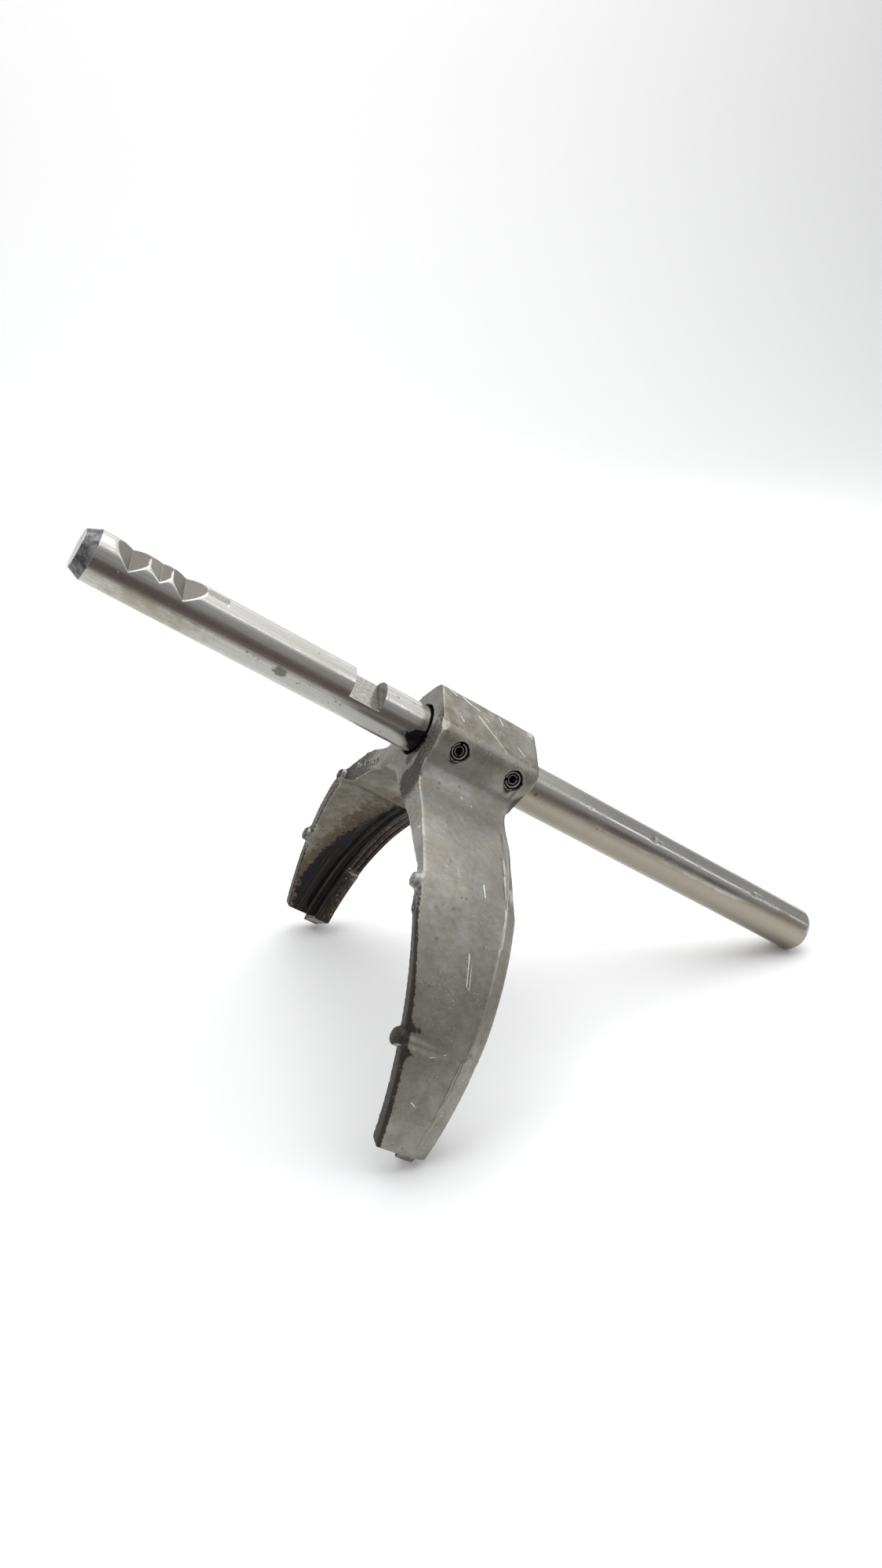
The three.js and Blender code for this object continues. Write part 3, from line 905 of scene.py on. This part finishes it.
def soften(mesh, rounds):
    """Rounds the corners; every second pass swells the mesh again, so that it shrinks less."""
    co, edges = points_of(mesh), edges_of(mesh)
    for i in range(rounds * 2):
        factor = 0.55 if i % 2 == 0 else -0.30
        co = co + factor * (neighbour_mean(co, edges, len(co)) - co)
    mesh.vertices.foreach_set("co", co.ravel())
    mesh.update()


def shape_casting(mesh):
    """Draft, parting step, chipped corner, waist and the slight waviness of the casting skin."""
    co, normal = points_of(mesh), normals_of(mesh)
    x, y, z = co.T.copy()
    radius, turn = np.hypot(y, z + ARC_DROP), np.degrees(np.arctan2(-y, z + ARC_DROP))
    out_y, out_z = y / radius, (z + ARC_DROP) / radius
    parting = np.interp(np.abs(turn - CROWN_TURN) + CROWN_TURN, *zip(*PARTING))
    outer = smoothstep(73.5, 75.5, radius) * smoothstep(14, 24, np.abs(turn - CROWN_TURN)) * (radius < 79)
    fall = np.where(x > parting, 0.22 + 0.30 * (x - parting), 0) * outer
    crown = 0.0035 * (x - 15) ** 2 * outer * (x < parting)
    y -= (fall + crown) * out_y
    z -= (fall + crown) * out_z
    waist = np.interp(z, [-24, -12, -8, -4, 1], [WEB_WIDTH, WEB_WIDTH + 0.4, 34.6, 35.8, BOSS_LENGTH])
    x = np.where((x > waist) & (z > -24) & (z < 1), waist, x)
    chip = Vector((-0.62, -0.55, 0.56)).normalized()
    over = (x - 1.4) * chip.x + (y + 15.9) * chip.y + (z - 5.6) * chip.z
    near_chip = np.exp(-(((x - 1.2) / 3.0) ** 2 + ((y + 15.8) / 3.2) ** 2 + ((z - 6.0) / 2.9) ** 2) ** 3)
    move = np.maximum(over, 0) * near_chip
    x, y, z = x - move * chip.x, y - move * chip.y, z - move * chip.z
    co = np.stack([x, y, z], 1)
    ripple = 0.10 * wave(co, 9.0, 1) + 0.03 * wave(co, 2.2, 2)
    co = co + normal * ripple[:, None]
    mesh.vertices.foreach_set("co", co.ravel())
    mesh.update()


def fork_cutters():
    """The bore, the pin holes, the groove that machines the tongue and its pads, and two tool lines."""
    bore = turned("x", (0, 0), [(-3, 9.3), (-0.2, 9.1), (0.9, 8.25), (36.7, 8.25), (37.9, 9.1), (40, 9.3)], 96)
    pin_hole = [(-24, 3.45), (-17.9, 3.35), (-16.9, 3.06), (24, 3.06)]
    pins = [turned("y", (place, 0), pin_hole) for place in PIN_PLACES]
    bm = bmesh.new()
    far_pad, near_pad = TONGUE_FAR + PAD_SPAN, TONGUE_NEAR - PAD_SPAN
    outline = arc(GROOVE_DROP, PAD_RADIUS, TONGUE_FAR - 6, far_pad)
    outline += arc(GROOVE_DROP, TONGUE_RADIUS, far_pad + 0.6, near_pad - 0.6)
    outline += arc(GROOVE_DROP, PAD_RADIUS, near_pad, TONGUE_NEAR + 6)
    prism(bm, outline, 22, 36)
    groove = to_mesh(bm, "groove")
    lines = []
    for place in (27.0, 29.2):
        bm = bmesh.new()
        band = arc(GROOVE_DROP, TONGUE_RADIUS + 0.4, far_pad + 1, near_pad - 1)
        band += arc(GROOVE_DROP, TONGUE_RADIUS - 3, near_pad - 1, far_pad + 1)
        prism(bm, band, place, place + 0.45)
        lines.append(to_mesh(bm, "tool_line"))
    return [bore, *pins, groove, *lines]


def paint_fork(mesh):
    """Where the casting is worn, stained, oily or rubbed, and where shade is painted on it."""
    co, normal = points_of(mesh), normals_of(mesh)
    x, y, z = co.T
    nx = normal[:, 0]
    radius, turn = np.hypot(y, z + ARC_DROP), np.degrees(np.arctan2(-y, z + ARC_DROP))
    radial = (normal[:, 1] * y + normal[:, 2] * (z + ARC_DROP)) / radius
    side = np.array([side_at(b, c) for b, c in zip(y, z)])
    bend = curvature(mesh)
    edge = smoothstep(0.09, 0.26, bend)
    # Painted shade: the concave hollows and inner corners are darkened
    hollow_shade = smoothstep(0.03, 0.16, -bend)
    near, far = y < -10, y > 10
    front = smoothstep(0.45, 0.8, -nx)
    outside = smoothstep(0.5, 0.8, radial) * (radius > 73)
    inside = smoothstep(-0.4, -0.8, radial)

    # Oil stain with painted shade on the near arm's front faces, heavier down the arm
    turned_front = np.where(turn > 50, smoothstep(0.12, 0.4, -nx), front)
    down_arm = np.interp(turn, [10, 16, 30, 45, 58, 75, 100], [0.5, 0.42, 0.22, 0.42, 0.66, 0.86, 0.95])
    stain_and_shade = np.where(near, turned_front * down_arm, 0)
    lap = outside * near * smoothstep(58, 74, turn) * np.exp(-np.maximum(x - side - 0.8, 0) / 1.1) * 0.8
    rib_sides = outside * near * (bump(turn, 77.6, 1.2) + bump(turn, 82.6, 1.0))
    rib_sides = rib_sides * smoothstep(5, 8, x) * smoothstep(20, 10, x) * 0.52
    boss_side = y < -14
    pins = sum(bump(x, place - 0.2, 2.1) * bump(z, -3.9, 1.3) * boss_side for place in PIN_PLACES) * 0.62
    pins += sum(bump(np.hypot(x - place, z), 3.3, 0.5) * boss_side for place in PIN_PLACES) * 0.55
    rim = far * front * (radius > 69) * np.interp(turn, [-84, -60, -30, -20, -10], [0.62, 0.55, 0.6, 0.55, 0.2])
    spots = [(11.3, 51, 3.4, 3.0, 0.42), (8, 60, 3, 2.5, 0.3), (22, 90, 4, 2.5, 0.2), (14, 38, 4, 2.4, 0.3)]
    spots = sum(a * np.exp(-((x - sx) / w) ** 2 - ((turn - t) / d) ** 2) for sx, t, w, d, a in spots) * outside * near
    root = (np.abs(x) < 1.5) * np.exp(-((y + 11) / 6) ** 2 - ((z + 15) / 5.5) ** 2) * 0.8
    # Painted shade on the strip behind the parting line, which slopes away towards the rear
    strip = outside * near * smoothstep(29.0, 31.5, x) * 0.16
    # The arms' inner faces get oil stain and painted shade
    stain_and_shade = stain_and_shade + lap + rib_sides + pins + rim + spots + root + strip + inside * np.where(near, 0.55, 0.3)
    tongue_side = front * (radius < 71.6) * smoothstep(20, 24, x) * (np.abs(turn - CROWN_TURN) > 12)
    streak = inside * far * smoothstep(16, 25, x) * 0.25
    store(mesh, "stain_and_shade", stain_and_shade + tongue_side * 0.3 + streak)

    reach = np.interp(turn, [-86, -75, -60, -45, -30, -10], [6.0, 9.0, 6.5, 3.0, 1.2, 0.4])
    band = inside * far * smoothstep(TONGUE_FRONT - reach - 7, TONGUE_FRONT - reach + 2, x) * (radius > 70)
    band = band * np.interp(turn, [-86, -60, -40, -15], [0.72, 1, 0.7, 0.3])
    # Black oil with painted shade on the far tongue's front face
    flank_oil_and_shade = tongue_side * far * np.interp(turn, [-86, -50, -30, -12], [1.0, 1.0, 0.72, 0.45])
    near_flank = tongue_side * near * 0.7
    around = np.hypot(y, z)
    below = np.degrees(np.arctan2(-y, z))
    mouth = (np.abs(x) < 1.8) * smoothstep(11.8, 9.2, around) * smoothstep(84, 98, below) * smoothstep(168, 146, below)
    run = (np.abs(x) < 1.5) * np.exp(-((y + 5.5) / 3.0) ** 2 - ((z + 10.2) / 2.0) ** 2) * 0.75
    crescent = (np.abs(x) < 1.5) * (around < 9.2) * 0.75
    chip_line = np.exp(-((x - 1.6) / 2.2) ** 2 - ((y + 17.2) / 1.2) ** 2 - ((z - 3.6) / 0.4) ** 2) * 0.9
    bore = (around < 8.4) * 0.8
    holes = sum((np.hypot(x - place, z) < 3.3) * (np.abs(y) > 9) for place in PIN_PLACES) * 0.85
    store(mesh, "oil", band + flank_oil_and_shade + near_flank + mouth + run + crescent + chip_line + bore + holes)

    machined = (radius < 67) * inside
    film_and_shade = np.where(boss_side, 0.52 * np.exp(-((z - 2.2) / 4.2) ** 2), 0) * (x > 1.5)
    # Darker and warmer towards the near arm's lower end
    film_and_shade += outside * near * np.interp(turn, [12, 20, 45, 65, 100], [0.15, 0.25, 0.25, 0.5, 0.5])
    # Painted shade on the far arm's inner face; oily coat on the machined pads
    film_and_shade += far * inside * 1.35 + machined * np.where(far & (turn < TONGUE_FAR + PAD_SPAN + 3), 0.7, 0.1)
    # Coat on the front faces near the crown, and painted shade on the upward-facing faces on top of the boss
    film_and_shade += front * (turn < 14) * 0.62 + (z > 6.5) * (normal[:, 2] > 0.4) * 0.75
    store(mesh, "film_and_shade", film_and_shade)
    pad = machined * far * (turn < TONGUE_FAR + PAD_SPAN + 2)
    low = inside * far * (radius > 67) * np.interp(turn, [-86, -70, -50, -30], [0.90, 0.80, 0.64, 0.52])
    far_tip = turn < TONGUE_FAR + 1.5
    brown = pad * 0.8 + machined * far * (1 - pad) * 0.42 + low * smoothstep(2, 18, x)
    brown += 0.5 * front * far * smoothstep(-40, -70, turn) + far * far_tip * 0.7
    under_pins = sum(bump(x, place, 2.6) * bump(z, -4.4, 1.5) * boss_side for place in PIN_PLACES)
    store(mesh, "brown", brown + under_pins * 0.5)
    corner = np.exp(-((x - 35.5) / 2.6) ** 2 - ((y + 1.8) / 3.0) ** 2 - ((z - 15.2) / 2.0) ** 2) * 0.62
    corner += np.exp(-((x - 36.8) / 1.6) ** 2 - ((y + 15) / 3.5) ** 2 - ((z - 2.5) / 4.0) ** 2) * 0.45
    patch = np.exp(-((x - 31.8) / 1.5) ** 2 - ((turn - 40) / 3.4) ** 2) * (radius > 73) * near * 0.75
    marks = [(20.3, 92, 2.0, 0.9), (24.5, 56, 1.6, 1.0), (18.4, 20, 1.6, 1.2), (22, 24, 1.4, 0.9)]
    marks = sum(0.42 * np.exp(-((x - mx) / w) ** 2 - ((turn - t) / d) ** 2) for mx, t, w, d in marks) * outside * near
    store(mesh, "rub", corner + patch + marks)
    wear = np.where(far, 0.75, np.interp(turn, [20, 50], [0.72, 0.95]))
    sheltered = (around < 9.6) | (radius < 69.5) | far_tip
    store(mesh, "edge", edge * wear * np.where(sheltered, 0.25, 1))
    store(mesh, "hollow_shade", hollow_shade * np.where(near & (turn < 30), 0.35, 0.8))


class SHIFTFORK_OT_fork(bpy.types.Operator):
    """Cast the fork: join and soften the rough solids, machine its bore, pin holes and tongue, and stain it and paint
    shade on it
    """
    bl_idname = "shift_fork.fork"
    bl_label = "Cast fork"

    def execute(self, context):
        settings = context.scene.shift_fork.fork
        piece = new_piece("cast_shift_fork", rough_casting())
        grid = piece.modifiers.new("join", "REMESH")
        grid.mode, grid.voxel_size, grid.adaptivity = "VOXEL", settings.grid / MM, 0.0
        apply_modifiers(piece)
        soften(piece.data, settings.softening)
        shape_casting(piece.data)
        cut(piece, fork_cutters())
        paint_fork(piece.data)
        piece.data.shade_smooth()
        piece.data.set_sharp_from_angle(angle=math.radians(42))
        finished(piece, cast_metal(), "cast_aluminium", "shift_fork")
        return {"FINISHED"}


# ---------- casting details ----------

def flash_mesh():
    """The thin raised line left where the two halves of the mould met."""
    bm = bmesh.new()
    for ends in ((20, 79.2), (80.4, 101.4)):
        rings = []
        count = 90
        for i in range(count + 1):
            turn = ends[0] + (ends[1] - ends[0]) * i / count
            x = float(np.interp(turn, *zip(*PARTING))) + 0.12 * noise.noise(Vector((turn * 0.35, 3, 7)))
            half, high = 0.17, 0.12 + 0.10 * noise.noise(Vector((turn * 0.5, 1, 2)))
            if i in (0, count):
                half, high = 0.05, 0.02
            radius = OUTER_RADIUS - 0.55 if turn < 40 else OUTER_RADIUS - 0.5
            low, top = onarc(ARC_DROP, radius - 0.5, turn), onarc(ARC_DROP, radius + high, turn)
            rings.append([(x - half, *low), (x - half * 0.5, *top), (x + half * 0.5, *top), (x + half, *low)])
        loft(bm, rings)
    return to_mesh(bm, "parting_flash")


def tally_mesh():
    """A row of plain raised bars on the far arm's rim."""
    bm = bmesh.new()
    for i in range(9):
        turn = -14.2 - 1.35 * i
        low, high = onarc(ARC_DROP, 73.4, turn), onarc(ARC_DROP, 76.0, turn - 0.35)
        across = Vector(onarc(ARC_DROP, 74.7, turn + 0.24)) - Vector(onarc(ARC_DROP, 74.7, turn))
        a, b = Vector(low), Vector(high)
        base = [a - across, a + across, b + across, b - across]
        middle = (a + b) / 2
        top = [middle + (p - middle) * 0.72 for p in base]
        loft(bm, [[(0.4, p.x, p.y) for p in base], [(-0.12, p.x, p.y) for p in base], [(-0.42, p.x, p.y) for p in top]])
    return to_mesh(bm, "tally_marks")


class SHIFTFORK_OT_casting_details(bpy.types.Operator):
    """Add the parting flash along the near arm and the plain raised bars on the far arm's rim"""
    bl_idname = "shift_fork.casting_details"
    bl_label = "Casting details"

    def execute(self, context):
        material = bpy.data.materials["Die-cast aluminium"]
        for name, mesh, edge, stain_and_shade in (("parting_flash", flash_mesh(), 0.62, 0.1),
                                        ("raised_tally_bars", tally_mesh(), 0.4, 0.5)):
            count = len(mesh.vertices)
            store(mesh, "edge", np.full(count, edge))
            store(mesh, "stain_and_shade", np.full(count, stain_and_shade))
            store(mesh, "rub", np.where(points_of(mesh)[:, 2] < -70, 0.7, 0.0))
            for other in ("film_and_shade", "brown", "oil", "hollow_shade"):
                store(mesh, other, np.zeros(count))
            finished(new_piece(name, mesh), material, "cast_aluminium")
        return {"FINISHED"}


# ---------- spring pins ----------

def pin_mesh(radius, wall, slit, place, slit_side, near, far):
    """A strip rolled into an open tube, with chamfered ends and a slit along it."""
    half = math.asin(slit / 2 / radius)
    inner, ease = radius - wall, min(0.28, wall * 0.35)
    profile = [(inner + 0.08, near), (radius - ease * 1.4, near),
               (radius - 0.06, near + ease * 1.6), (radius, near + ease * 2.4),
               (radius, far - ease * 2.4), (radius - 0.06, far - ease * 1.6),
               (radius - ease * 1.4, far), (inner + 0.08, far),
               (inner, far - 0.1), (inner, near + 0.1)]
    stations = []
    count = 72
    for i in range(count + 1):
        turn = half + (2 * math.pi - 2 * half) * i / count + math.radians(slit_side)
        stations.append([(place + r * math.cos(turn), p, r * math.sin(turn)) for r, p in profile])
    bm = bmesh.new()
    loft(bm, stations)
    return to_mesh(bm, "spring_pin")


class SHIFTFORK_OT_pins(bpy.types.Operator):
    """Roll the four spring pins, a small one nested in each large one"""
    bl_idname = "shift_fork.pins"
    bl_label = "Spring pins"

    def execute(self, context):
        s = context.scene.shift_fork.pins
        outer, inner = spring_steel("Oiled spring steel", 0.85), spring_steel("Inner spring steel", 1.25)
        kinds = (("spring", s.outer_radius, s.outer_wall, 1.1, outer, "spring_steel", (100, 200), 0.0),
                 ("inner", s.inner_radius, s.inner_wall, 0.7, inner, "inner_spring_steel", (290, 30), 0.25))
        for kind, radius, wall, slit, material, slot, sides, recess in kinds:
            for side, place, slit_side in zip(("front", "rear"), PIN_PLACES, sides):
                mesh = pin_mesh(radius / MM, wall / MM, slit, place, slit_side,
                                PIN_REACH[0] + recess, PIN_REACH[1] - recess)
                store(mesh, "edge", smoothstep(0.9, 0.1, points_of(mesh)[:, 1] - PIN_REACH[0]) * 0.6)
                mesh.shade_smooth()
                mesh.set_sharp_from_angle(angle=math.radians(35))
                node = f"{side}_spring_pin" if kind == "spring" else f"{side}_inner_pin"
                finished(new_piece(f"rolled_{side}_{kind}_pin", mesh), material, slot, node)
        return {"FINISHED"}


# ---------- stage ----------

CAMERA_PLACE = (-149.69, -370.71, 0.0)
CAMERA_RIGHT = (0.81113, -0.3476, 0.47036)
CAMERA_DOWN = (0.41873, -0.21632, -0.88197)


def area_light(name, place, target, size, power, colour=(1, 1, 1)):
    data = bpy.data.lights.new(name, "AREA")
    data.shape, data.size, data.size_y, data.energy, data.color = "RECTANGLE", size[0], size[1], power, colour
    light = bpy.data.objects.new(name, data)
    bpy.context.scene.collection.objects.link(light)
    light.location = place
    light.rotation_euler = (Vector(target) - Vector(place)).to_track_quat("-Z", "Y").to_euler()
    light.visible_camera = False
    return light


def panel_light(name, place, along, across, size, power):
    """A rectangular light facing the rail, its long side along it."""
    light = area_light(name, place, (0, 0, 0), size, power)
    x, y = along.normalized(), across.normalized()
    z = x.cross(y).normalized()
    if z.dot(Vector(place) - PLACE.translation) < 0:
        y, z = -y, -z
    turn = Matrix((x, z.cross(x), z)).transposed().to_4x4()
    turn.translation = place
    light.matrix_world = turn
    return light


class SHIFTFORK_OT_stage(bpy.types.Operator):
    """Lay the pale floor, hang the soft lights and set the camera"""
    bl_idname = "shift_fork.stage"
    bl_label = "Stage"

    def execute(self, context):
        settings = context.scene.shift_fork.stage
        bm = bmesh.new()
        profile = [(-2.5, 0.0), (1.3, 0.0)]
        profile += [(1.3 + 0.6 * math.sin(t), 0.6 - 0.6 * math.cos(t)) for t in np.linspace(0.1, math.pi / 2, 12)]
        profile += [(1.9, 2.2)]
        rows = [[bm.verts.new((x, y, z)) for x in (-2.6, 2.6)] for y, z in profile]
        for a, b in zip(rows, rows[1:]):
            bm.faces.new((a[0], a[1], b[1], b[0]))
        mesh = to_mesh(bm, "pale_floor")
        mesh.shade_smooth()
        floor = new_piece("pale_floor", mesh)
        material, tree, shader = new_material("Pale floor")
        place = add_node(tree, "TexCoord").outputs["Object"]
        tone = between(tree, noise_of(tree, place, 2.0, 3.0), 0.3, 0.7)
        darker = tuple(c * 0.97 for c in settings.floor)
        connect(tree, shader, blend_colour(tree, calc(tree, "MULTIPLY", tone, 0.12), settings.floor, darker))
        shader.inputs["Roughness"].default_value = 0.9
        shader.inputs["Specular IOR Level"].default_value = 0.1
        mesh.materials.append(material)

        area_light("overhead_light", (0.0, 0.15, 0.95), (0, 0.05, 0), (1.0, 0.8), settings.overhead)
        area_light("left_light", (-0.9, -0.35, 0.75), (0, 0, 0.05), (0.6, 0.8), 1.0, (0.97, 0.98, 1.0))
        along = PLACE.to_3x3() @ Vector((1, 0, 0))
        middle = PLACE @ Vector((0, 0, 0))
        across = Vector((0.183, -0.935, 0.299))
        toward = along.cross(across).normalized() * -0.8
        panel_light("side_panel", middle + toward + along * 0.08, along, across, (0.75, 1.5), settings.panel)
        front = middle + toward + along * 0.40 + across * 0.76
        panel_light("edge_strip", front, along, across, (1.5, 0.035), settings.strip)
        area_light("backdrop_light", (0.2, 0.9, 1.3), (0.3, 2.0, 0.3), (1.6, 0.5), 10.0)

        bm = bmesh.new()
        rows = [[bm.verts.new((x, y, z)) for x in (-0.8, 1.0)]
                for y, z in ((-0.05, 0.004), (-0.25, 0.004), (-0.6, 0.01), (-0.68, 0.08), (-0.70, 0.26))]
        for a, b in zip(rows, rows[1:]):
            bm.faces.new((a[0], a[1], b[1], b[0]))
        card = new_piece("dark_card", to_mesh(bm, "dark_card"))
        cloth, tree, shader = new_material("Dark card")
        _, y, z = add_node(tree, "SeparateXYZ", {0: add_node(tree, "TexCoord").outputs["Object"]}).outputs
        fade = calc(tree, "MULTIPLY", between(tree, y, -0.07, -0.22), between(tree, z, 0.26, 0.16))
        tree.links.new(fade, shader.inputs["Alpha"])
        shader.inputs["Base Color"].default_value = (0.16, 0.13, 0.12, 1)
        shader.inputs["Roughness"].default_value = 1.0
        shader.inputs["Specular IOR Level"].default_value = 0.0
        card.data.materials.append(cloth)
        card.visible_camera = card.visible_shadow = card.visible_diffuse = False

        world = bpy.data.worlds.new("studio")
        context.scene.world = world
        world.use_nodes = True
        tree = world.node_tree
        direction = add_node(tree, "TexCoord").outputs["Generated"]
        height = add_node(tree, "SeparateXYZ", {0: direction}).outputs[2]
        ramp = add_node(tree, "ValToRGB", {0: calc(tree, "ADD", calc(tree, "MULTIPLY", height, 0.5), 0.5)})
        stops = [(0.40, (0.42, 0.41, 0.39)), (0.50, (0.38, 0.365, 0.355)), (0.57, (0.46, 0.45, 0.45)),
                 (0.75, (0.54, 0.545, 0.56)), (0.86, (0.60, 0.61, 0.64)), (1.0, (0.74, 0.76, 0.80))]
        elements = ramp.color_ramp.elements
        while len(elements) < len(stops):
            elements.new(0.5)
        for element, (place, colour) in zip(elements, stops):
            element.position, element.color = place, (*colour, 1)
        background = tree.nodes["Background"]
        seen = add_node(tree, "LightPath").outputs["Is Camera Ray"]
        tree.links.new(blend_colour(tree, seen, ramp.outputs[0], (0.93, 0.93, 0.93)), background.inputs[0])
        background.inputs[1].default_value = 0.9

        data = bpy.data.cameras.new("camera")
        data.sensor_fit, data.sensor_width, data.lens = "HORIZONTAL", 36.0, settings.lens
        data.clip_start, data.clip_end = 0.02, 20
        camera = bpy.data.objects.new("camera", data)
        context.scene.collection.objects.link(camera)
        right, up = Vector(CAMERA_RIGHT).normalized(), -Vector(CAMERA_DOWN).normalized()
        back = right.cross(up).normalized()
        up = back.cross(right)
        turn = Matrix((right, up, back)).transposed().to_4x4()
        turn.translation = Vector(CAMERA_PLACE) * MM
        camera.matrix_world = PLACE @ turn
        context.scene.camera = camera
        context.scene.view_settings.view_transform = "Standard"
        return {"FINISHED"}


class SHIFTFORK_PT_panel(bpy.types.Panel):
    """Buttons and settings of the shift fork."""
    bl_idname = "SHIFTFORK_PT_panel"
    bl_label = "Shift Fork"
    bl_space_type = "VIEW_3D"
    bl_region_type = "UI"
    bl_category = "Shift Fork"

    def draw(self, context):
        for operator, key in OPERATORS:
            box = self.layout.box()
            box.operator(operator.bl_idname)
            if key:
                settings = getattr(context.scene.shift_fork, key)
                for name in settings.bl_rna.properties.keys():
                    if name not in {"rna_type", "name"}:
                        box.prop(settings, name)


OPERATORS = (
    (SHIFTFORK_OT_rail, "rail"),
    (SHIFTFORK_OT_fork, "fork"),
    (SHIFTFORK_OT_casting_details, None),
    (SHIFTFORK_OT_pins, "pins"),
    (SHIFTFORK_OT_stage, "stage"),
)
CLASSES = (RailSettings, ForkSettings, PinSettings, StageSettings, ShiftForkSettings,
           *(operator for operator, _ in OPERATORS), SHIFTFORK_PT_panel)


def register():
    for cls in CLASSES:
        bpy.utils.register_class(cls)
    bpy.types.Scene.shift_fork = PointerProperty(type=ShiftForkSettings)


def unregister():
    del bpy.types.Scene.shift_fork
    for cls in reversed(CLASSES):
        bpy.utils.unregister_class(cls)


def main():
    register()
    make_groups()
    bpy.ops.shift_fork.rail()
    bpy.ops.shift_fork.fork()
    bpy.ops.shift_fork.casting_details()
    bpy.ops.shift_fork.pins()
    bpy.ops.shift_fork.stage()


if __name__ == "__main__":
    main()
